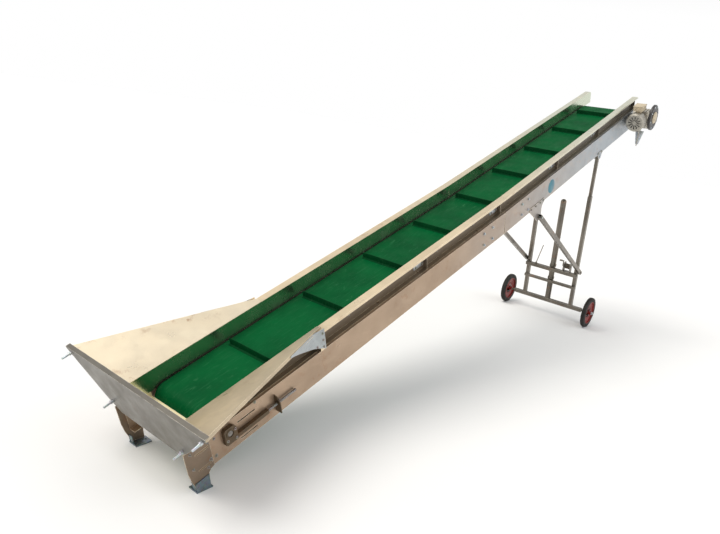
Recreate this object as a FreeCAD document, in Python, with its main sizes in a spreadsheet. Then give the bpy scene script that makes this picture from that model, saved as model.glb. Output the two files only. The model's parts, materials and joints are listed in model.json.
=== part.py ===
"""Inclined cleated-belt conveyor section: infeed hopper, side-mounted gear motor, wheeled telescopic stand.

World frame: +X runs along the floor from the feet to the head, +Y to the far side, +Z up, floor at Z = 0,
with the origin midway between the four anchor holes in the feet.
Each section of the conveyor is drawn in its own section frame: x along the belt, y across it and z square
to it, with z = 0 on the belt's carrying face.
"""
import FreeCAD
import Part
import Sketcher
import math
import os
import re
from FreeCAD import Placement, Rotation, Vector

DIMENSIONS = {
    # layout, degrees and millimetres
    "incline_angle": 19.8,        # slope of the tail section
    "joint_angle": 1.47,          # extra upward tilt of the head section at the bolted joint
    "tail_section": 3326,         # foot's front edge to the joint
    "head_section": 3174,         # joint to the head ends of the side guards
    "belt_height": 306,           # belt face above the floor at the foot's front edge, square to the belt
    # trough: guards on side panels
    "trough_width": 500,
    "guard_height": 112,          # guard's top above the belt face
    "guard_drop": 20,             # guard's foot and the panel's top, below the belt face
    "guard_flange": 58,
    "guard_foot": 40,
    "guard_lip": 18,
    "guard_gauge": 3,
    "guard_corner": 34,
    "panel_drop": 218,            # panel's bottom below the belt face
    "panel_flange": 50,
    "panel_gauge": 4,
    "guard_start": 24,
    # belt, bed and drums
    "belt_width": 476,
    "belt_gauge": 5,
    "belt_slack": 0.3,            # belt to drum, radial
    "drum_radius": 75,
    "drum_face": 480,
    "drum_shell": 6,
    "drum_disc": 8,               # half the thickness of the disc that carries the shell
    "shaft_radius": 17.5,
    "shaft_clearance": 0.05,
    "tail_drum_at": 264,
    "head_drum_at": 2944,
    "cleat_height": 43,
    "cleat_gauge": 7,
    "cleat_width": 400,
    "cleat_pitch": 656,
    "first_cleat_at": 735,
    "bed_gauge": 3,
    "bed_start": 400,
    "cross_tube": 30,
    # tail end
    "end_plate_gauge": 4,
    "end_plate_front": -15,
    "end_plate_rear": 143,
    "foot_plate_gauge": 8,
    "foot_plate_length": 104,
    "foot_plate_width": 72,
    "foot_bolt_hole": 13,
    "tray_drop": 50,
    "tray_end": 180,
    "takeup_slot": 127,
    "takeup_slot_height": 8,
    "shaft_slot": 62,
    "push_bar_length": 230,
    "takeup_screw": 450,
    "rod_radius": 8,
    "rod_drop": 130,
    # hopper
    "wing_flare": 25.3,
    "wing_width": 400,
    "wing_length": 1060,
    "wing_rear": 36,
    "wing_fold": 14,
    "front_lean": 6.8,
    "sheet_gauge": 3,
    "front_flange": 28,
    # drive
    "gearbox_size": 150,
    "gearbox_depth": 184,
    "cover_ahead": 40,
    "cover_above": 32,
    "cover_radius": 140,
    "motor_radius": 92,
    "motor_length": 62,
    "cowl_radius": 99,
    "cowl_length": 60,
    "motor_across": 432,
    "motor_drop": 56,
    "motor_shaft_radius": 12,
    # undercarriage
    "wheel_radius": 176,
    "tyre_width": 46,
    "tyre_depth": 46,
    "wheel_track": 1012,
    "stub_radius": 12.5,
    "axle_at": 5336,
    "leg_across": 290,
    "outer_leg": 40,
    "inner_leg": 31.4,
    "leg_wall": 4,
    "tube_wall": 3,
    "outer_leg_length": 1350,
    "leg_pivot_at": 2104,
    "leg_pivot_drop": 250,
    "inner_leg_length": 900,
    "brace_pivot_at": 663,
    "brace_pivot_drop": 345,
    "brace_seat": 450,
    "brace_tube": 30,
    "brace_gap": 0.5,
    "bracket_gauge": 5,
    "upper_bar_at": 411,
    "lower_bar_at": 257,
    "lower_bar": 30,
    "mast_radius": 32,
    "mast_length": 1255,
    "pin_radius": 6,
    "lever_length": 235,
}

doc = FreeCAD.newDocument("belt_conveyor")
sheet = doc.addObject("Spreadsheet::Sheet", "Dims")
for row, (name, value) in enumerate(DIMENSIONS.items(), start=1):
    sheet.set(f"A{row}", name)
    sheet.set(f"B{row}", str(value))
    sheet.setAlias(f"B{row}", name)
doc.recompute()
dim = {name: float(sheet.get(name)) for name in DIMENSIONS}
nodes = []

SIDES = (("near", -1), ("far", 1))
ALONG_Y = Rotation(Vector(0, 0, 1), 90)          # turns a piece's own x axis onto +y
UP_FROM_X = Rotation(Vector(0, 1, 0), -90)       # turns a piece's own x axis onto +z


def bound(text):
    """Write the sheet's name in front of every dimension in an expression."""
    return re.sub(r"[a-z]+_\w+", lambda word: "Dims." + word.group(0), str(text))


def placed(frame, at=(0, 0, 0), turn=None):
    return frame.multiply(Placement(Vector(*at), turn or Rotation()))


def keep(piece):
    nodes.append(piece)
    return piece


# ---------------------------------------------------------------- frames
slope = math.radians(dim["incline_angle"])
tilt_up = Vector(0, 1, 0)
tail_frame = Placement(
    Vector(-dim["belt_height"] * math.sin(slope) - dim["foot_plate_length"] / 2, 0,
           dim["belt_height"] * math.cos(slope)),
    Rotation(tilt_up, -dim["incline_angle"]))
head_frame = placed(tail_frame, (dim["tail_section"], 0, 0), Rotation(tilt_up, -dim["joint_angle"]))
floor_frame = Placement()

leg_pivot = head_frame.multVec(Vector(dim["leg_pivot_at"], 0, -dim["leg_pivot_drop"]))
axle_centre = Vector(dim["axle_at"], 0, dim["wheel_radius"])
leg_line = leg_pivot - axle_centre
leg_reach = leg_line.Length
leg_frame = Placement(axle_centre, Rotation(tilt_up, math.degrees(math.atan2(leg_line.x, leg_line.z))))
brace_pivot = head_frame.multVec(Vector(dim["brace_pivot_at"], 0, -dim["brace_pivot_drop"]))
brace_foot = leg_frame.multVec(Vector(0, 0, dim["brace_seat"]))
brace_line = brace_foot - brace_pivot
brace_frame = Placement(brace_pivot, Rotation(tilt_up, -math.degrees(math.atan2(brace_line.z, brace_line.x))))

drum_drop = dim["drum_radius"] + dim["belt_slack"] + dim["belt_gauge"]
panel_face = dim["trough_width"] / 2 + dim["guard_flange"]


# ---------------------------------------------------------------- drawing helpers
def outline_sketch(body, plane, loops, circles=()):
    """Sketch closed outlines of straight lines, each corner held by two dimensions, and round holes."""
    sketch = body.newObject("Sketcher::SketchObject", "Outline")
    support = [origin for origin in body.Origin.OriginFeatures if origin.Role == plane][0]
    sketch.AttachmentSupport = [(support, "")]
    sketch.MapMode = "FlatFace"

    def hold(line, point, corner):
        for kind, size in zip(("DistanceX", "DistanceY"), corner):
            index = sketch.addConstraint(Sketcher.Constraint(kind, -1, 1, line, point, 1.0))
            sketch.setExpression(f"Constraints[{index}]", bound(size))

    for corners in loops:
        first = sketch.GeometryCount
        for k in range(len(corners)):
            sketch.addGeometry(Part.LineSegment(Vector(k, k * k, 0), Vector(k + 1, (k + 1) ** 2, 0)), False)
        for k, corner in enumerate(corners):
            following = first + (k + 1) % len(corners)
            sketch.addConstraint(Sketcher.Constraint("Coincident", first + k, 2, following, 1))
            hold(first + k, 1, corner)
    for across, up, diameter in circles:
        ring = sketch.addGeometry(Part.Circle(Vector(1, 1, 0), Vector(0, 0, 1), 1), False)
        hold(ring, 3, (across, up))
        index = sketch.addConstraint(Sketcher.Constraint("Diameter", ring, 2.0))
        sketch.setExpression(f"Constraints[{index}]", bound(diameter))
    return sketch


def padded(label, plane, loops, length, frame, circles=(), both_ways=False):
    """A body whose outline is padded along its plane's normal."""
    body = doc.addObject("PartDesign::Body", label)
    body.Label = label
    sketch = outline_sketch(body, plane, loops, circles)
    pad = body.newObject("PartDesign::Pad", "Pad")
    pad.Profile = sketch
    pad.setExpression("Length", bound(length))
    pad.Midplane = both_ways
    sketch.Visibility = False
    body.Placement = frame
    return body


def turned(label, corners, frame):
    """A body whose outline, given as (along the axis, radius), is turned about the body's x axis."""
    body = doc.addObject("PartDesign::Body", label)
    body.Label = label
    sketch = outline_sketch(body, "XY_Plane", [corners])
    turn = body.newObject("PartDesign::Revolution", "Turn")
    turn.Profile = sketch
    turn.ReferenceAxis = (sketch, ["H_Axis"])
    turn.Angle = 360
    body.Placement = frame
    return body


def round_edges(body, radius, wanted):
    """Round the edges of a body that the test picks, given each edge in the body's own axes."""
    doc.recompute()
    base = body.Tip
    picked = [f"Edge{k}" for k, edge in enumerate(base.Shape.Edges, start=1) if wanted(edge)]
    fillet = body.newObject("PartDesign::Fillet", "Round")
    fillet.Base = (base, picked)
    fillet.setExpression("Radius", bound(radius))
    return body


def add_pad(body, plane, loops, length, reverse=False, circles=()):
    sketch = outline_sketch(body, plane, loops, circles)
    pad = body.newObject("PartDesign::Pad", "Pad")
    pad.Profile = sketch
    pad.setExpression("Length", bound(length))
    pad.Reversed = reverse
    return body


def box(length, width, height, frame):
    piece = doc.addObject("Part::Box", "Block")
    for name, size in (("Length", length), ("Width", width), ("Height", height)):
        piece.setExpression(name, bound(size))
    piece.Placement = frame
    return piece


def tube(label, width, wall, length, frame):
    """A square tube centred on the frame's origin and running along its y axis."""
    outer, inner = f"({width} / 2)", f"({width} / 2 - {wall})"
    square = [[(f"-{half}", f"-{half}"), (half, f"-{half}"), (half, half), (f"-{half}", half)]
              for half in (outer, inner)]
    return padded(label, "XZ_Plane", square, length, frame, both_ways=True)


def rod(radius, length, frame):
    """A round bar that starts at the frame's origin and runs along its z axis."""
    piece = doc.addObject("Part::Cylinder", "Bar")
    piece.setExpression("Radius", bound(radius))
    piece.setExpression("Height", bound(length))
    piece.Placement = frame
    return piece


def hexagon(radius, length, frame):
    piece = doc.addObject("Part::Prism", "Hexagon")
    piece.Polygon = 6
    piece.setExpression("Circumradius", bound(radius))
    piece.setExpression("Height", bound(length))
    piece.Placement = frame
    return piece


def fused(label, *pieces):
    joined = doc.addObject("Part::MultiFuse", label)
    joined.Label = label
    joined.Shapes = list(pieces)
    return joined


def cut(label, base, tool):
    piece = doc.addObject("Part::Cut", label)
    piece.Label = label
    piece.Base = base
    piece.Tool = tool
    return piece


def group(label, pieces):
    gathered = doc.addObject("Part::Compound", label)
    gathered.Label = label
    gathered.Links = list(pieces)
    return gathered


OUT_NEAR = Rotation(Vector(1, 0, 0), 90)         # turns a piece's own z axis onto -y
OUT_FAR = Rotation(Vector(1, 0, 0), -90)         # turns a piece's own z axis onto +y


def outward(side):
    return OUT_FAR if side > 0 else OUT_NEAR


# ---------------------------------------------------------------- trough
def guard_outline(side):
    inner = f"{side} * trough_width / 2"
    return [
        (inner, "-guard_drop"),
        (f"{side} * (trough_width / 2 + guard_foot)", "-guard_drop"),
        (f"{side} * (trough_width / 2 + guard_foot)", "guard_gauge - guard_drop"),
        (f"{side} * (trough_width / 2 + guard_gauge)", "guard_gauge - guard_drop"),
        (f"{side} * (trough_width / 2 + guard_gauge)", "guard_height - guard_gauge"),
        (f"{side} * (trough_width / 2 + guard_flange - guard_gauge)", "guard_height - guard_gauge"),
        (f"{side} * (trough_width / 2 + guard_flange - guard_gauge)", "guard_height - guard_lip"),
        (f"{side} * (trough_width / 2 + guard_flange)", "guard_height - guard_lip"),
        (f"{side} * (trough_width / 2 + guard_flange)", "guard_height"),
        (inner, "guard_height"),
    ]


def panel_outline(side):
    face = "(trough_width / 2 + guard_flange)"
    return [
        (f"{side} * {face}", "-guard_drop"),
        (f"{side} * {face}", "-panel_drop"),
        (f"{side} * ({face} - panel_flange)", "-panel_drop"),
        (f"{side} * ({face} - panel_flange)", "panel_gauge - panel_drop"),
        (f"{side} * ({face} - panel_gauge)", "panel_gauge - panel_drop"),
        (f"{side} * ({face} - panel_gauge)", "-guard_drop - panel_gauge"),
        (f"{side} * ({face} - panel_flange)", "-guard_drop - panel_gauge"),
        (f"{side} * ({face} - panel_flange)", "-guard_drop"),
    ]


def corner_cutter(side):
    """What is cut away to round the top corner at a guard's head end, seen from the side."""
    reach = dim["guard_flange"] + 4
    low = dim["trough_width"] / 2 - 2 if side > 0 else -panel_face - 2
    end, top, radius = dim["head_section"], dim["guard_height"], dim["guard_corner"]
    block = box("guard_corner + 5", reach, "guard_corner + 5",
                placed(head_frame, (end - radius, low, top - radius)))
    round_part = rod("guard_corner", reach, placed(head_frame, (end - radius, low, top - radius), OUT_FAR))
    return cut("corner", block, round_part)


for name, side in SIDES:
    guards = []
    for frame, start, length in (
            (placed(tail_frame, (dim["guard_start"], 0, 0)), 0, "tail_section - guard_start - 2"),
            (placed(head_frame, (2, 0, 0)), 0, "head_section - 2")):
        guards.append(padded(f"guard_{name}_length", "YZ_Plane", [guard_outline(side)], length, frame))
    guards[1] = cut(f"guard_{name}_head", guards[1], corner_cutter(side))
    keep(group(f"guard_{name}", guards))

slot_clearance = 4


def takeup_slots(side):
    """Blocks that open the shaft's slot and the two narrow guide slots in a tail panel's web."""
    across = min(side * panel_face, side * (panel_face - dim["panel_gauge"])) - 1
    low = -drum_drop - dim["shaft_radius"] - slot_clearance
    start = dim["tail_drum_at"] - dim["shaft_radius"] - slot_clearance
    slots = [box("shaft_slot", "panel_gauge + 2", f"2 * shaft_radius + {2 * slot_clearance}",
                 placed(tail_frame, (start, across, low)))]
    for up in (-74, -191):
        slots.append(box("takeup_slot", "panel_gauge + 2", "takeup_slot_height",
                         placed(tail_frame, (dim["tail_drum_at"] + 72, across, up))))
    return fused("takeup_slots", *slots)


for name, side in SIDES:
    tail_panel = padded(f"tail_panel_{name}_channel", "YZ_Plane", [panel_outline(side)],
                        "tail_section - guard_start - 2", placed(tail_frame, (dim["guard_start"], 0, 0)))
    keep(cut(f"tail_panel_{name}", tail_panel, takeup_slots(side)))
    across = min(side * panel_face, side * (panel_face - dim["panel_gauge"])) - 1
    head_panel = padded(f"head_panel_{name}_channel", "YZ_Plane", [panel_outline(side)],
                        "head_section - 2", placed(head_frame, (2, 0, 0)))
    bore = rod("shaft_radius + 4", "panel_gauge + 2",
               placed(head_frame, (dim["head_drum_at"], across, -drum_drop), OUT_FAR))
    keep(cut(f"head_panel_{name}", head_panel, bore))


def splice_pieces():
    """Inside plates that join the side panels, and their bolts."""
    plates, bolts = [], []
    for name, side in SIDES:
        inner = side * (panel_face - dim["panel_gauge"])
        thick = dim["bracket_gauge"]
        low = min(inner, inner - side * thick)
        up = 6 + dim["panel_gauge"] - dim["panel_drop"]
        for length, spot in (("360", placed(tail_frame, (dim["tail_section"] - 364, low, up))),
                             ("460", placed(head_frame, (4, low, up)))):
            plates.append(box(length, "bracket_gauge", "panel_drop - guard_drop - 2 * panel_gauge - 12", spot))
        for frame, spots in ((tail_frame, [dim["tail_section"] - back for back in (350, 210)]),
                             (head_frame, [310, 430])):
            for at in spots:
                for up in (-dim["guard_drop"] - 48, -dim["panel_drop"] + 48):
                    head = hexagon("11", "8", placed(frame, (at, side * panel_face, up), outward(side)))
                    washer = rod("13", "2", placed(frame, (at, side * panel_face, up), outward(side)))
                    bolts.append(fused("splice_bolt", head, washer))
    return plates, bolts


splice_plates, splice_bolts = splice_pieces()
keep(group("splice_plates", splice_plates))
keep(group("splice_bolts", splice_bolts))


def guard_strips():
    """Upright stiffeners that stand in the guards' outward channels."""
    strips = []
    height = "guard_height + guard_drop - 2 * guard_gauge"
    for name, side in SIDES:
        low = min(side * (dim["trough_width"] / 2 + dim["guard_gauge"]),
                  side * (dim["trough_width"] / 2 + dim["guard_foot"]))
        for frame, at in ((tail_frame, 1042), (tail_frame, 2181), (tail_frame, 3270),
                          (head_frame, 1062), (head_frame, 2062), (head_frame, 3120)):
            strips.append(box("guard_gauge", "guard_foot - guard_gauge", height,
                              placed(frame, (at, low, dim["guard_gauge"] - dim["guard_drop"]))))
        low = min(side * panel_face, side * (panel_face + dim["guard_gauge"]))
        strips.append(box("46", "guard_gauge", "guard_height + guard_drop + 18",
                          placed(tail_frame, (dim["wing_length"] - 46, low, -dim["guard_drop"]))))
    return strips


keep(group("guard_strips", guard_strips()))

# ---------------------------------------------------------------- slider bed and cross members
bed_outline = [
    ("-trough_width / 2 - guard_foot", "-guard_drop - panel_gauge"),
    ("-trough_width / 2 + 5", "-guard_drop - panel_gauge"),
    ("-trough_width / 2 + 5", "-belt_gauge - belt_slack"),
    ("trough_width / 2 - 5", "-belt_gauge - belt_slack"),
    ("trough_width / 2 - 5", "-guard_drop - panel_gauge"),
    ("trough_width / 2 + guard_foot", "-guard_drop - panel_gauge"),
    ("trough_width / 2 + guard_foot", "-guard_drop - panel_gauge - bed_gauge"),
    ("trough_width / 2 - 5 - bed_gauge", "-guard_drop - panel_gauge - bed_gauge"),
    ("trough_width / 2 - 5 - bed_gauge", "-belt_gauge - belt_slack - bed_gauge"),
    ("-trough_width / 2 + 5 + bed_gauge", "-belt_gauge - belt_slack - bed_gauge"),
    ("-trough_width / 2 + 5 + bed_gauge", "-guard_drop - panel_gauge - bed_gauge"),
    ("-trough_width / 2 - guard_foot", "-guard_drop - panel_gauge - bed_gauge"),
]
keep(group("slider_bed", [
    padded("tail_bed", "YZ_Plane", [bed_outline], "tail_section - bed_start - 2",
           placed(tail_frame, (dim["bed_start"], 0, 0))),
    padded("head_bed", "YZ_Plane", [bed_outline], "head_drum_at - 32", placed(head_frame, (2, 0, 0))),
]))


def cross_members():
    """Square tubes between the side panels."""
    members = []
    low = -dim["guard_drop"] - dim["panel_gauge"] - 6 - 1.5 * dim["cross_tube"]
    for frame, at in ((tail_frame, 715), (tail_frame, 1715), (tail_frame, 2715),
                      (head_frame, 615), (head_frame, 1715), (head_frame, 2515)):
        members.append(tube("cross_tube", "cross_tube", "tube_wall",
                            "2 * (trough_width / 2 + guard_flange - panel_gauge)",
                            placed(frame, (at, 0, low))))
    return members


keep(group("cross_members", cross_members()))


# ---------------------------------------------------------------- belt
class BeltPath:
    """The belt's closed line in the tail section's frame, as x and z at a given depth under its face."""

    def __init__(self):
        self.radius = drum_drop
        self.tail = Vector(dim["tail_drum_at"], 0, -drum_drop)
        self.joint = Vector(dim["tail_section"], 0, 0)
        self.bend = Rotation(tilt_up, -dim["joint_angle"])
        self.head = self.joint + self.bend.multVec(Vector(dim["head_drum_at"], 0, -drum_drop))
        centre_line = (self.head - self.tail).normalize()
        self.under = Vector(centre_line.z, 0, -centre_line.x)
        self.top_tail = Vector(0, 0, 1)
        self.top_head = self.bend.multVec(self.top_tail)

    def wire(self, depth):
        r = self.radius - depth
        half = math.radians(dim["joint_angle"] / 2)
        middle = Rotation(tilt_up, -dim["joint_angle"] / 2).multVec(Vector(0, 0, -depth / math.cos(half)))
        a = self.tail + self.top_tail * r
        b = self.joint + middle
        c = self.head + self.top_head * r
        e = self.head + self.under * r
        g = self.tail + self.under * r
        head_out = Vector(-self.under.z, 0, self.under.x)
        nose = self.head + head_out * r
        heel = self.tail - head_out * r
        edges = [Part.LineSegment(a, b), Part.LineSegment(b, c), Part.Arc(c, nose, e), Part.LineSegment(e, g),
                 Part.Arc(g, heel, a)]
        return Part.Wire([edge.toShape() for edge in edges])

    def station(self, distance):
        """Point and forward direction on the face, measured along the belt from the top of the tail drum."""
        flat_tail = dim["tail_section"] - dim["tail_drum_at"]
        flat_head = dim["head_drum_at"]
        forward_head = self.bend.multVec(Vector(1, 0, 0))
        if distance < flat_tail:
            return self.tail + Vector(distance, 0, self.radius), Vector(1, 0, 0)
        distance -= flat_tail
        if distance < flat_head:
            return self.joint + forward_head * distance, forward_head
        distance -= flat_head
        turn_head = math.pi - self.top_angle()
        if distance < turn_head * self.radius:
            angle = math.degrees(distance / self.radius)
            spin = Rotation(tilt_up, angle)
            return self.head + spin.multVec(self.top_head) * self.radius, spin.multVec(forward_head)
        distance -= turn_head * self.radius
        back = (self.tail - self.head).normalize()
        span = (self.tail - self.head).Length
        if distance < span:
            return self.head + self.under * self.radius + back * distance, back
        distance -= span
        spin = Rotation(tilt_up, math.degrees(distance / self.radius))
        return self.tail + spin.multVec(self.under) * self.radius, spin.multVec(back)

    def top_angle(self):
        """How much steeper the head section is than the straight return run."""
        return self.top_head.getAngle(self.under * -1)

    def length(self):
        flat = dim["tail_section"] - dim["tail_drum_at"] + dim["head_drum_at"]
        return flat + (self.tail - self.head).Length + 2 * math.pi * self.radius


path = BeltPath()
belt = doc.addObject("Part::Feature", "belt")
belt.Label = "belt"
band = Part.Face([path.wire(0), path.wire(dim["belt_gauge"])])
band.validate()
half_belt = Vector(0, dim["belt_width"] / 2, 0)
belt.Shape = band.extrude(half_belt * 2)
belt.Placement = placed(tail_frame, (0, -dim["belt_width"] / 2, 0))
keep(belt)


def belt_cleats():
    cleats = []
    start = dim["first_cleat_at"] - dim["tail_drum_at"]
    count = int(path.length() // dim["cleat_pitch"])
    for k in range(count):
        point, forward = path.station((start + k * dim["cleat_pitch"]) % path.length())
        lean = math.degrees(math.atan2(-forward.z, forward.x))
        spot = placed(tail_frame, point, Rotation(tilt_up, lean))
        cleats.append(box("cleat_gauge", "cleat_width", "cleat_height",
                          placed(spot, (-dim["cleat_gauge"] / 2, -dim["cleat_width"] / 2, 0))))
    return cleats


keep(group("belt_cleats", belt_cleats()))

# ---------------------------------------------------------------- drums and their bearings
near_end = "trough_width / 2 + guard_flange"
keep(turned("head_drum", [
    (f"-{near_end} - 188 + 12", "0"), (f"-{near_end} - 188 + 12", "shaft_radius"),
    ("-drum_disc", "shaft_radius"), ("-drum_disc", "drum_radius - drum_shell"),
    ("-drum_face / 2", "drum_radius - drum_shell"), ("-drum_face / 2", "drum_radius"),
    ("drum_face / 2", "drum_radius"), ("drum_face / 2", "drum_radius - drum_shell"),
    ("drum_disc", "drum_radius - drum_shell"), ("drum_disc", "shaft_radius"),
    (f"{near_end} + 42", "shaft_radius"), (f"{near_end} + 42", "0"),
], placed(head_frame, (dim["head_drum_at"], 0, -drum_drop), ALONG_Y)))


def flange_bearing(side):
    """Square-flanged bearing housing seated on a side panel."""
    plate = padded("bearing_flange", "XY_Plane",
                   [[("-48", "-48"), ("48", "-48"), ("48", "48"), ("-48", "48")]], "12",
                   placed(head_frame, (dim["head_drum_at"], side * panel_face, -drum_drop), outward(side)),
                   circles=[("0", "0", "2 * (shaft_radius + shaft_clearance)")])
    spot = placed(head_frame, (dim["head_drum_at"], side * (panel_face + 12), -drum_drop), outward(side))
    collar = cut("bearing_collar", rod("36", "26", spot), rod("shaft_radius + shaft_clearance", "26", spot))
    return fused("bearing", plate, collar)


keep(group("head_bearings", [flange_bearing(side) for name, side in SIDES]))

tail_spot = placed(tail_frame, (dim["tail_drum_at"], 0, -drum_drop), ALONG_Y)
keep(turned("tail_drum", [
    (f"-{near_end} - 20", "0"), (f"-{near_end} - 20", "shaft_radius"),
    ("-drum_disc", "shaft_radius"), ("-drum_disc", "drum_radius - drum_shell"),
    ("-drum_face / 2", "drum_radius - drum_shell"), ("-drum_face / 2", "drum_radius"),
    ("drum_face / 2", "drum_radius"), ("drum_face / 2", "drum_radius - drum_shell"),
    ("drum_disc", "drum_radius - drum_shell"), ("drum_disc", "shaft_radius"),
    (f"{near_end} + 20", "shaft_radius"), (f"{near_end} + 20", "0"),
], tail_spot))


def takeup_carriage(side):
    """Bearing block that slides along the side panel, with its square push bar and threaded rod."""
    outer = side * (panel_face + 1)
    drop = dim["rod_drop"] - drum_drop
    block = padded("block", "XZ_Plane",
                   [[("-38", f"-{drop} - 10"), ("-30", f"-{drop} - 18"), ("46", f"-{drop} - 18"),
                     ("46", "18"), ("26", "40"), ("-26", "40"), ("-38", "28")]], "24",
                   placed(tail_frame, (dim["tail_drum_at"], outer + (24 if side > 0 else 0), -drum_drop)),
                   circles=[("0", "0", "2 * (shaft_radius + shaft_clearance)")])
    low = min(side * (panel_face + 2), side * (panel_face + 26))
    push_bar = box("push_bar_length", "24", "24",
                   placed(tail_frame, (dim["tail_drum_at"] + 44, low, -dim["rod_drop"] - 12)))
    screw = rod("rod_radius", "takeup_screw",
                placed(tail_frame, (dim["tail_drum_at"] + 46, side * (panel_face + 14), -dim["rod_drop"]),
                       Rotation(tilt_up, 90)))
    return fused("carriage", block, push_bar, screw)


keep(group("takeup_carriages", [takeup_carriage(side) for name, side in SIDES]))

bracket_at = dim["tail_drum_at"] + 342


def takeup_bracket(side):
    """Upright plate on the panel that the adjusting screw passes through."""
    face = side * panel_face
    low = min(face, face + side * 46)
    plate = padded("screw_bracket", "YZ_Plane",
                   [[(f"{side} * ({near_end})", "-rod_drop - 55"),
                     (f"{side} * ({near_end} + 46)", "-rod_drop - 55"),
                     (f"{side} * ({near_end} + 46)", "-rod_drop + 22"),
                     (f"{side} * ({near_end} + 24)", "-rod_drop + 52"),
                     (f"{side} * ({near_end})", "-rod_drop + 60")]], "6",
                   placed(tail_frame, (bracket_at, 0, 0)),
                   circles=[(f"{side} * ({near_end} + 14)", "-rod_drop", "2 * rod_radius + 3")])
    return plate


keep(group("takeup_brackets", [takeup_bracket(side) for name, side in SIDES]))

for name, side in SIDES:
    spot = placed(tail_frame, (bracket_at + 6.3, side * (panel_face + 14), -dim["rod_drop"]),
                  Rotation(tilt_up, 90))
    keep(cut(f"takeup_nut_{name}", hexagon("15", "14", spot), rod("rod_radius", "14", spot)))


# ---------------------------------------------------------------- return rollers
def return_point(frame, at):
    """Height of the returning belt's face at a place along a section."""
    probe = tail_frame.inverse().multiply(frame).multVec(Vector(at, 0, 0))
    start = path.tail + path.under * path.radius
    along = (path.head - path.tail).normalize()
    point = start + along * ((probe - start).dot(along))
    return frame.inverse().multiply(tail_frame).multVec(point)


roller_radius, roller_width, roller_axle = 28, 28, 8
for name, frame, at in (("tail", tail_frame, 1500), ("head", head_frame, 1300)):
    spot = return_point(frame, at)
    pair = []
    for label, side in SIDES:
        pair.append(turned(f"return_roller_{name}_{label}", [
            (f"{side} * (cleat_width / 2 + 6)", f"{roller_axle} + shaft_clearance"),
            (f"{side} * (cleat_width / 2 + 6)", f"{roller_radius}"),
            (f"{side} * (cleat_width / 2 + 6 + {roller_width})", f"{roller_radius}"),
            (f"{side} * (cleat_width / 2 + 6 + {roller_width})", f"{roller_axle} + shaft_clearance"),
        ], placed(frame, (spot.x, 0, spot.z - roller_radius - 0.4), ALONG_Y)))
    keep(group(f"return_rollers_{name}", pair))


def roller_axles():
    axles = []
    for frame, at in ((tail_frame, 1500), (head_frame, 1300)):
        spot = return_point(frame, at)
        for label, side in SIDES:
            axles.append(turned("roller_axle", [
                (f"{side} * (cleat_width / 2 + 2)", "0"),
                (f"{side} * (cleat_width / 2 + 2)", "12"),
                (f"{side} * (cleat_width / 2 + 5.5)", "12"),
                (f"{side} * (cleat_width / 2 + 5.5)", f"{roller_axle}"),
                (f"{side} * (cleat_width / 2 + 6.5 + {roller_width})", f"{roller_axle}"),
                (f"{side} * (cleat_width / 2 + 6.5 + {roller_width})", "14"),
                (f"{side} * ({near_end} - panel_gauge)", "14"),
                (f"{side} * ({near_end} - panel_gauge)", "0"),
            ], placed(frame, (spot.x, 0, spot.z - roller_radius - 0.4), ALONG_Y)))
    return axles


keep(group("roller_axles", roller_axles()))


# ---------------------------------------------------------------- tail end plates, feet, tray and hopper
foot_floor = "foot_plate_gauge / cos(incline_angle * 1 deg) - belt_height - {} * tan(incline_angle * 1 deg)"


def end_plate_outline():
    return [
        ("end_plate_front", "-guard_drop"),
        ("end_plate_front", "-belt_height / 2"),
        ("end_plate_front + 8", "-panel_drop"),
        ("14", foot_floor.format("14")),
        ("90", foot_floor.format("90")),
        ("102", "-panel_drop - 22"),
        ("118", "-panel_drop - 6"),
        ("end_plate_rear", "-panel_drop"),
        ("end_plate_rear", "-guard_drop"),
    ]


for name, side in SIDES:
    across = side * panel_face + (dim["end_plate_gauge"] if side > 0 else 0)
    slots = [[("47", f"{up}"), ("133", f"{up}"), ("133", f"{up} + 9"), ("47", f"{up} + 9")]
             for up in (-79, -188)]
    keep(padded(f"end_plate_{name}", "XZ_Plane", [end_plate_outline()] + slots, "end_plate_gauge",
                placed(tail_frame, (0, across, 0))))


def foot(side):
    """Base plate with two anchor holes, under a short channel that clasps the end plate's leg."""
    face = side * (panel_face + dim["end_plate_gauge"])
    edge = face + side * 6
    low = min(edge, edge - side * dim["foot_plate_width"])
    middle = "foot_plate_width / 2"
    base = padded("foot_plate", "XY_Plane",
                  [[("0", "0"), ("foot_plate_length", "0"), ("foot_plate_length", "foot_plate_width"),
                    ("0", "foot_plate_width")]], "foot_plate_gauge",
                  placed(floor_frame, (-dim["foot_plate_length"] / 2, low, 0)),
                  circles=[(along, middle, "foot_bolt_hole") for along in ("20", "foot_plate_length - 20")])
    web = padded("foot_web", "XZ_Plane", [[("6", "-panel_drop - 26"), ("6", foot_floor.format("6")),
                                           ("90", foot_floor.format("90")), ("97", "-panel_drop - 26")]],
                 "5", placed(tail_frame, (0, face + (5 if side > 0 else 0), 0)))
    flange = padded("foot_flange", "XZ_Plane",
                    [[("6", "-panel_drop - 26"), ("6", foot_floor.format("6")),
                      ("11", foot_floor.format("11")), ("11", "-panel_drop - 26")]],
                    "30", placed(tail_frame, (0, side * panel_face + (0 if side > 0 else 30), 0)))
    return fused("foot", base, web, flange)


keep(group("foot_plates", [foot(side) for name, side in SIDES]))

tray_outline = [
    ("-trough_width / 2 - sheet_gauge", "-guard_drop"),
    ("-trough_width / 2 - sheet_gauge", "-tray_drop - sheet_gauge"),
    ("trough_width / 2 + sheet_gauge", "-tray_drop - sheet_gauge"),
    ("trough_width / 2 + sheet_gauge", "-guard_drop"),
    ("trough_width / 2", "-guard_drop"), ("trough_width / 2", "-tray_drop"),
    ("-trough_width / 2", "-tray_drop"), ("-trough_width / 2", "-guard_drop"),
]
keep(padded("infeed_tray", "YZ_Plane", [tray_outline], "tray_end - 2", placed(tail_frame, (2, 0, 0))))

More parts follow.
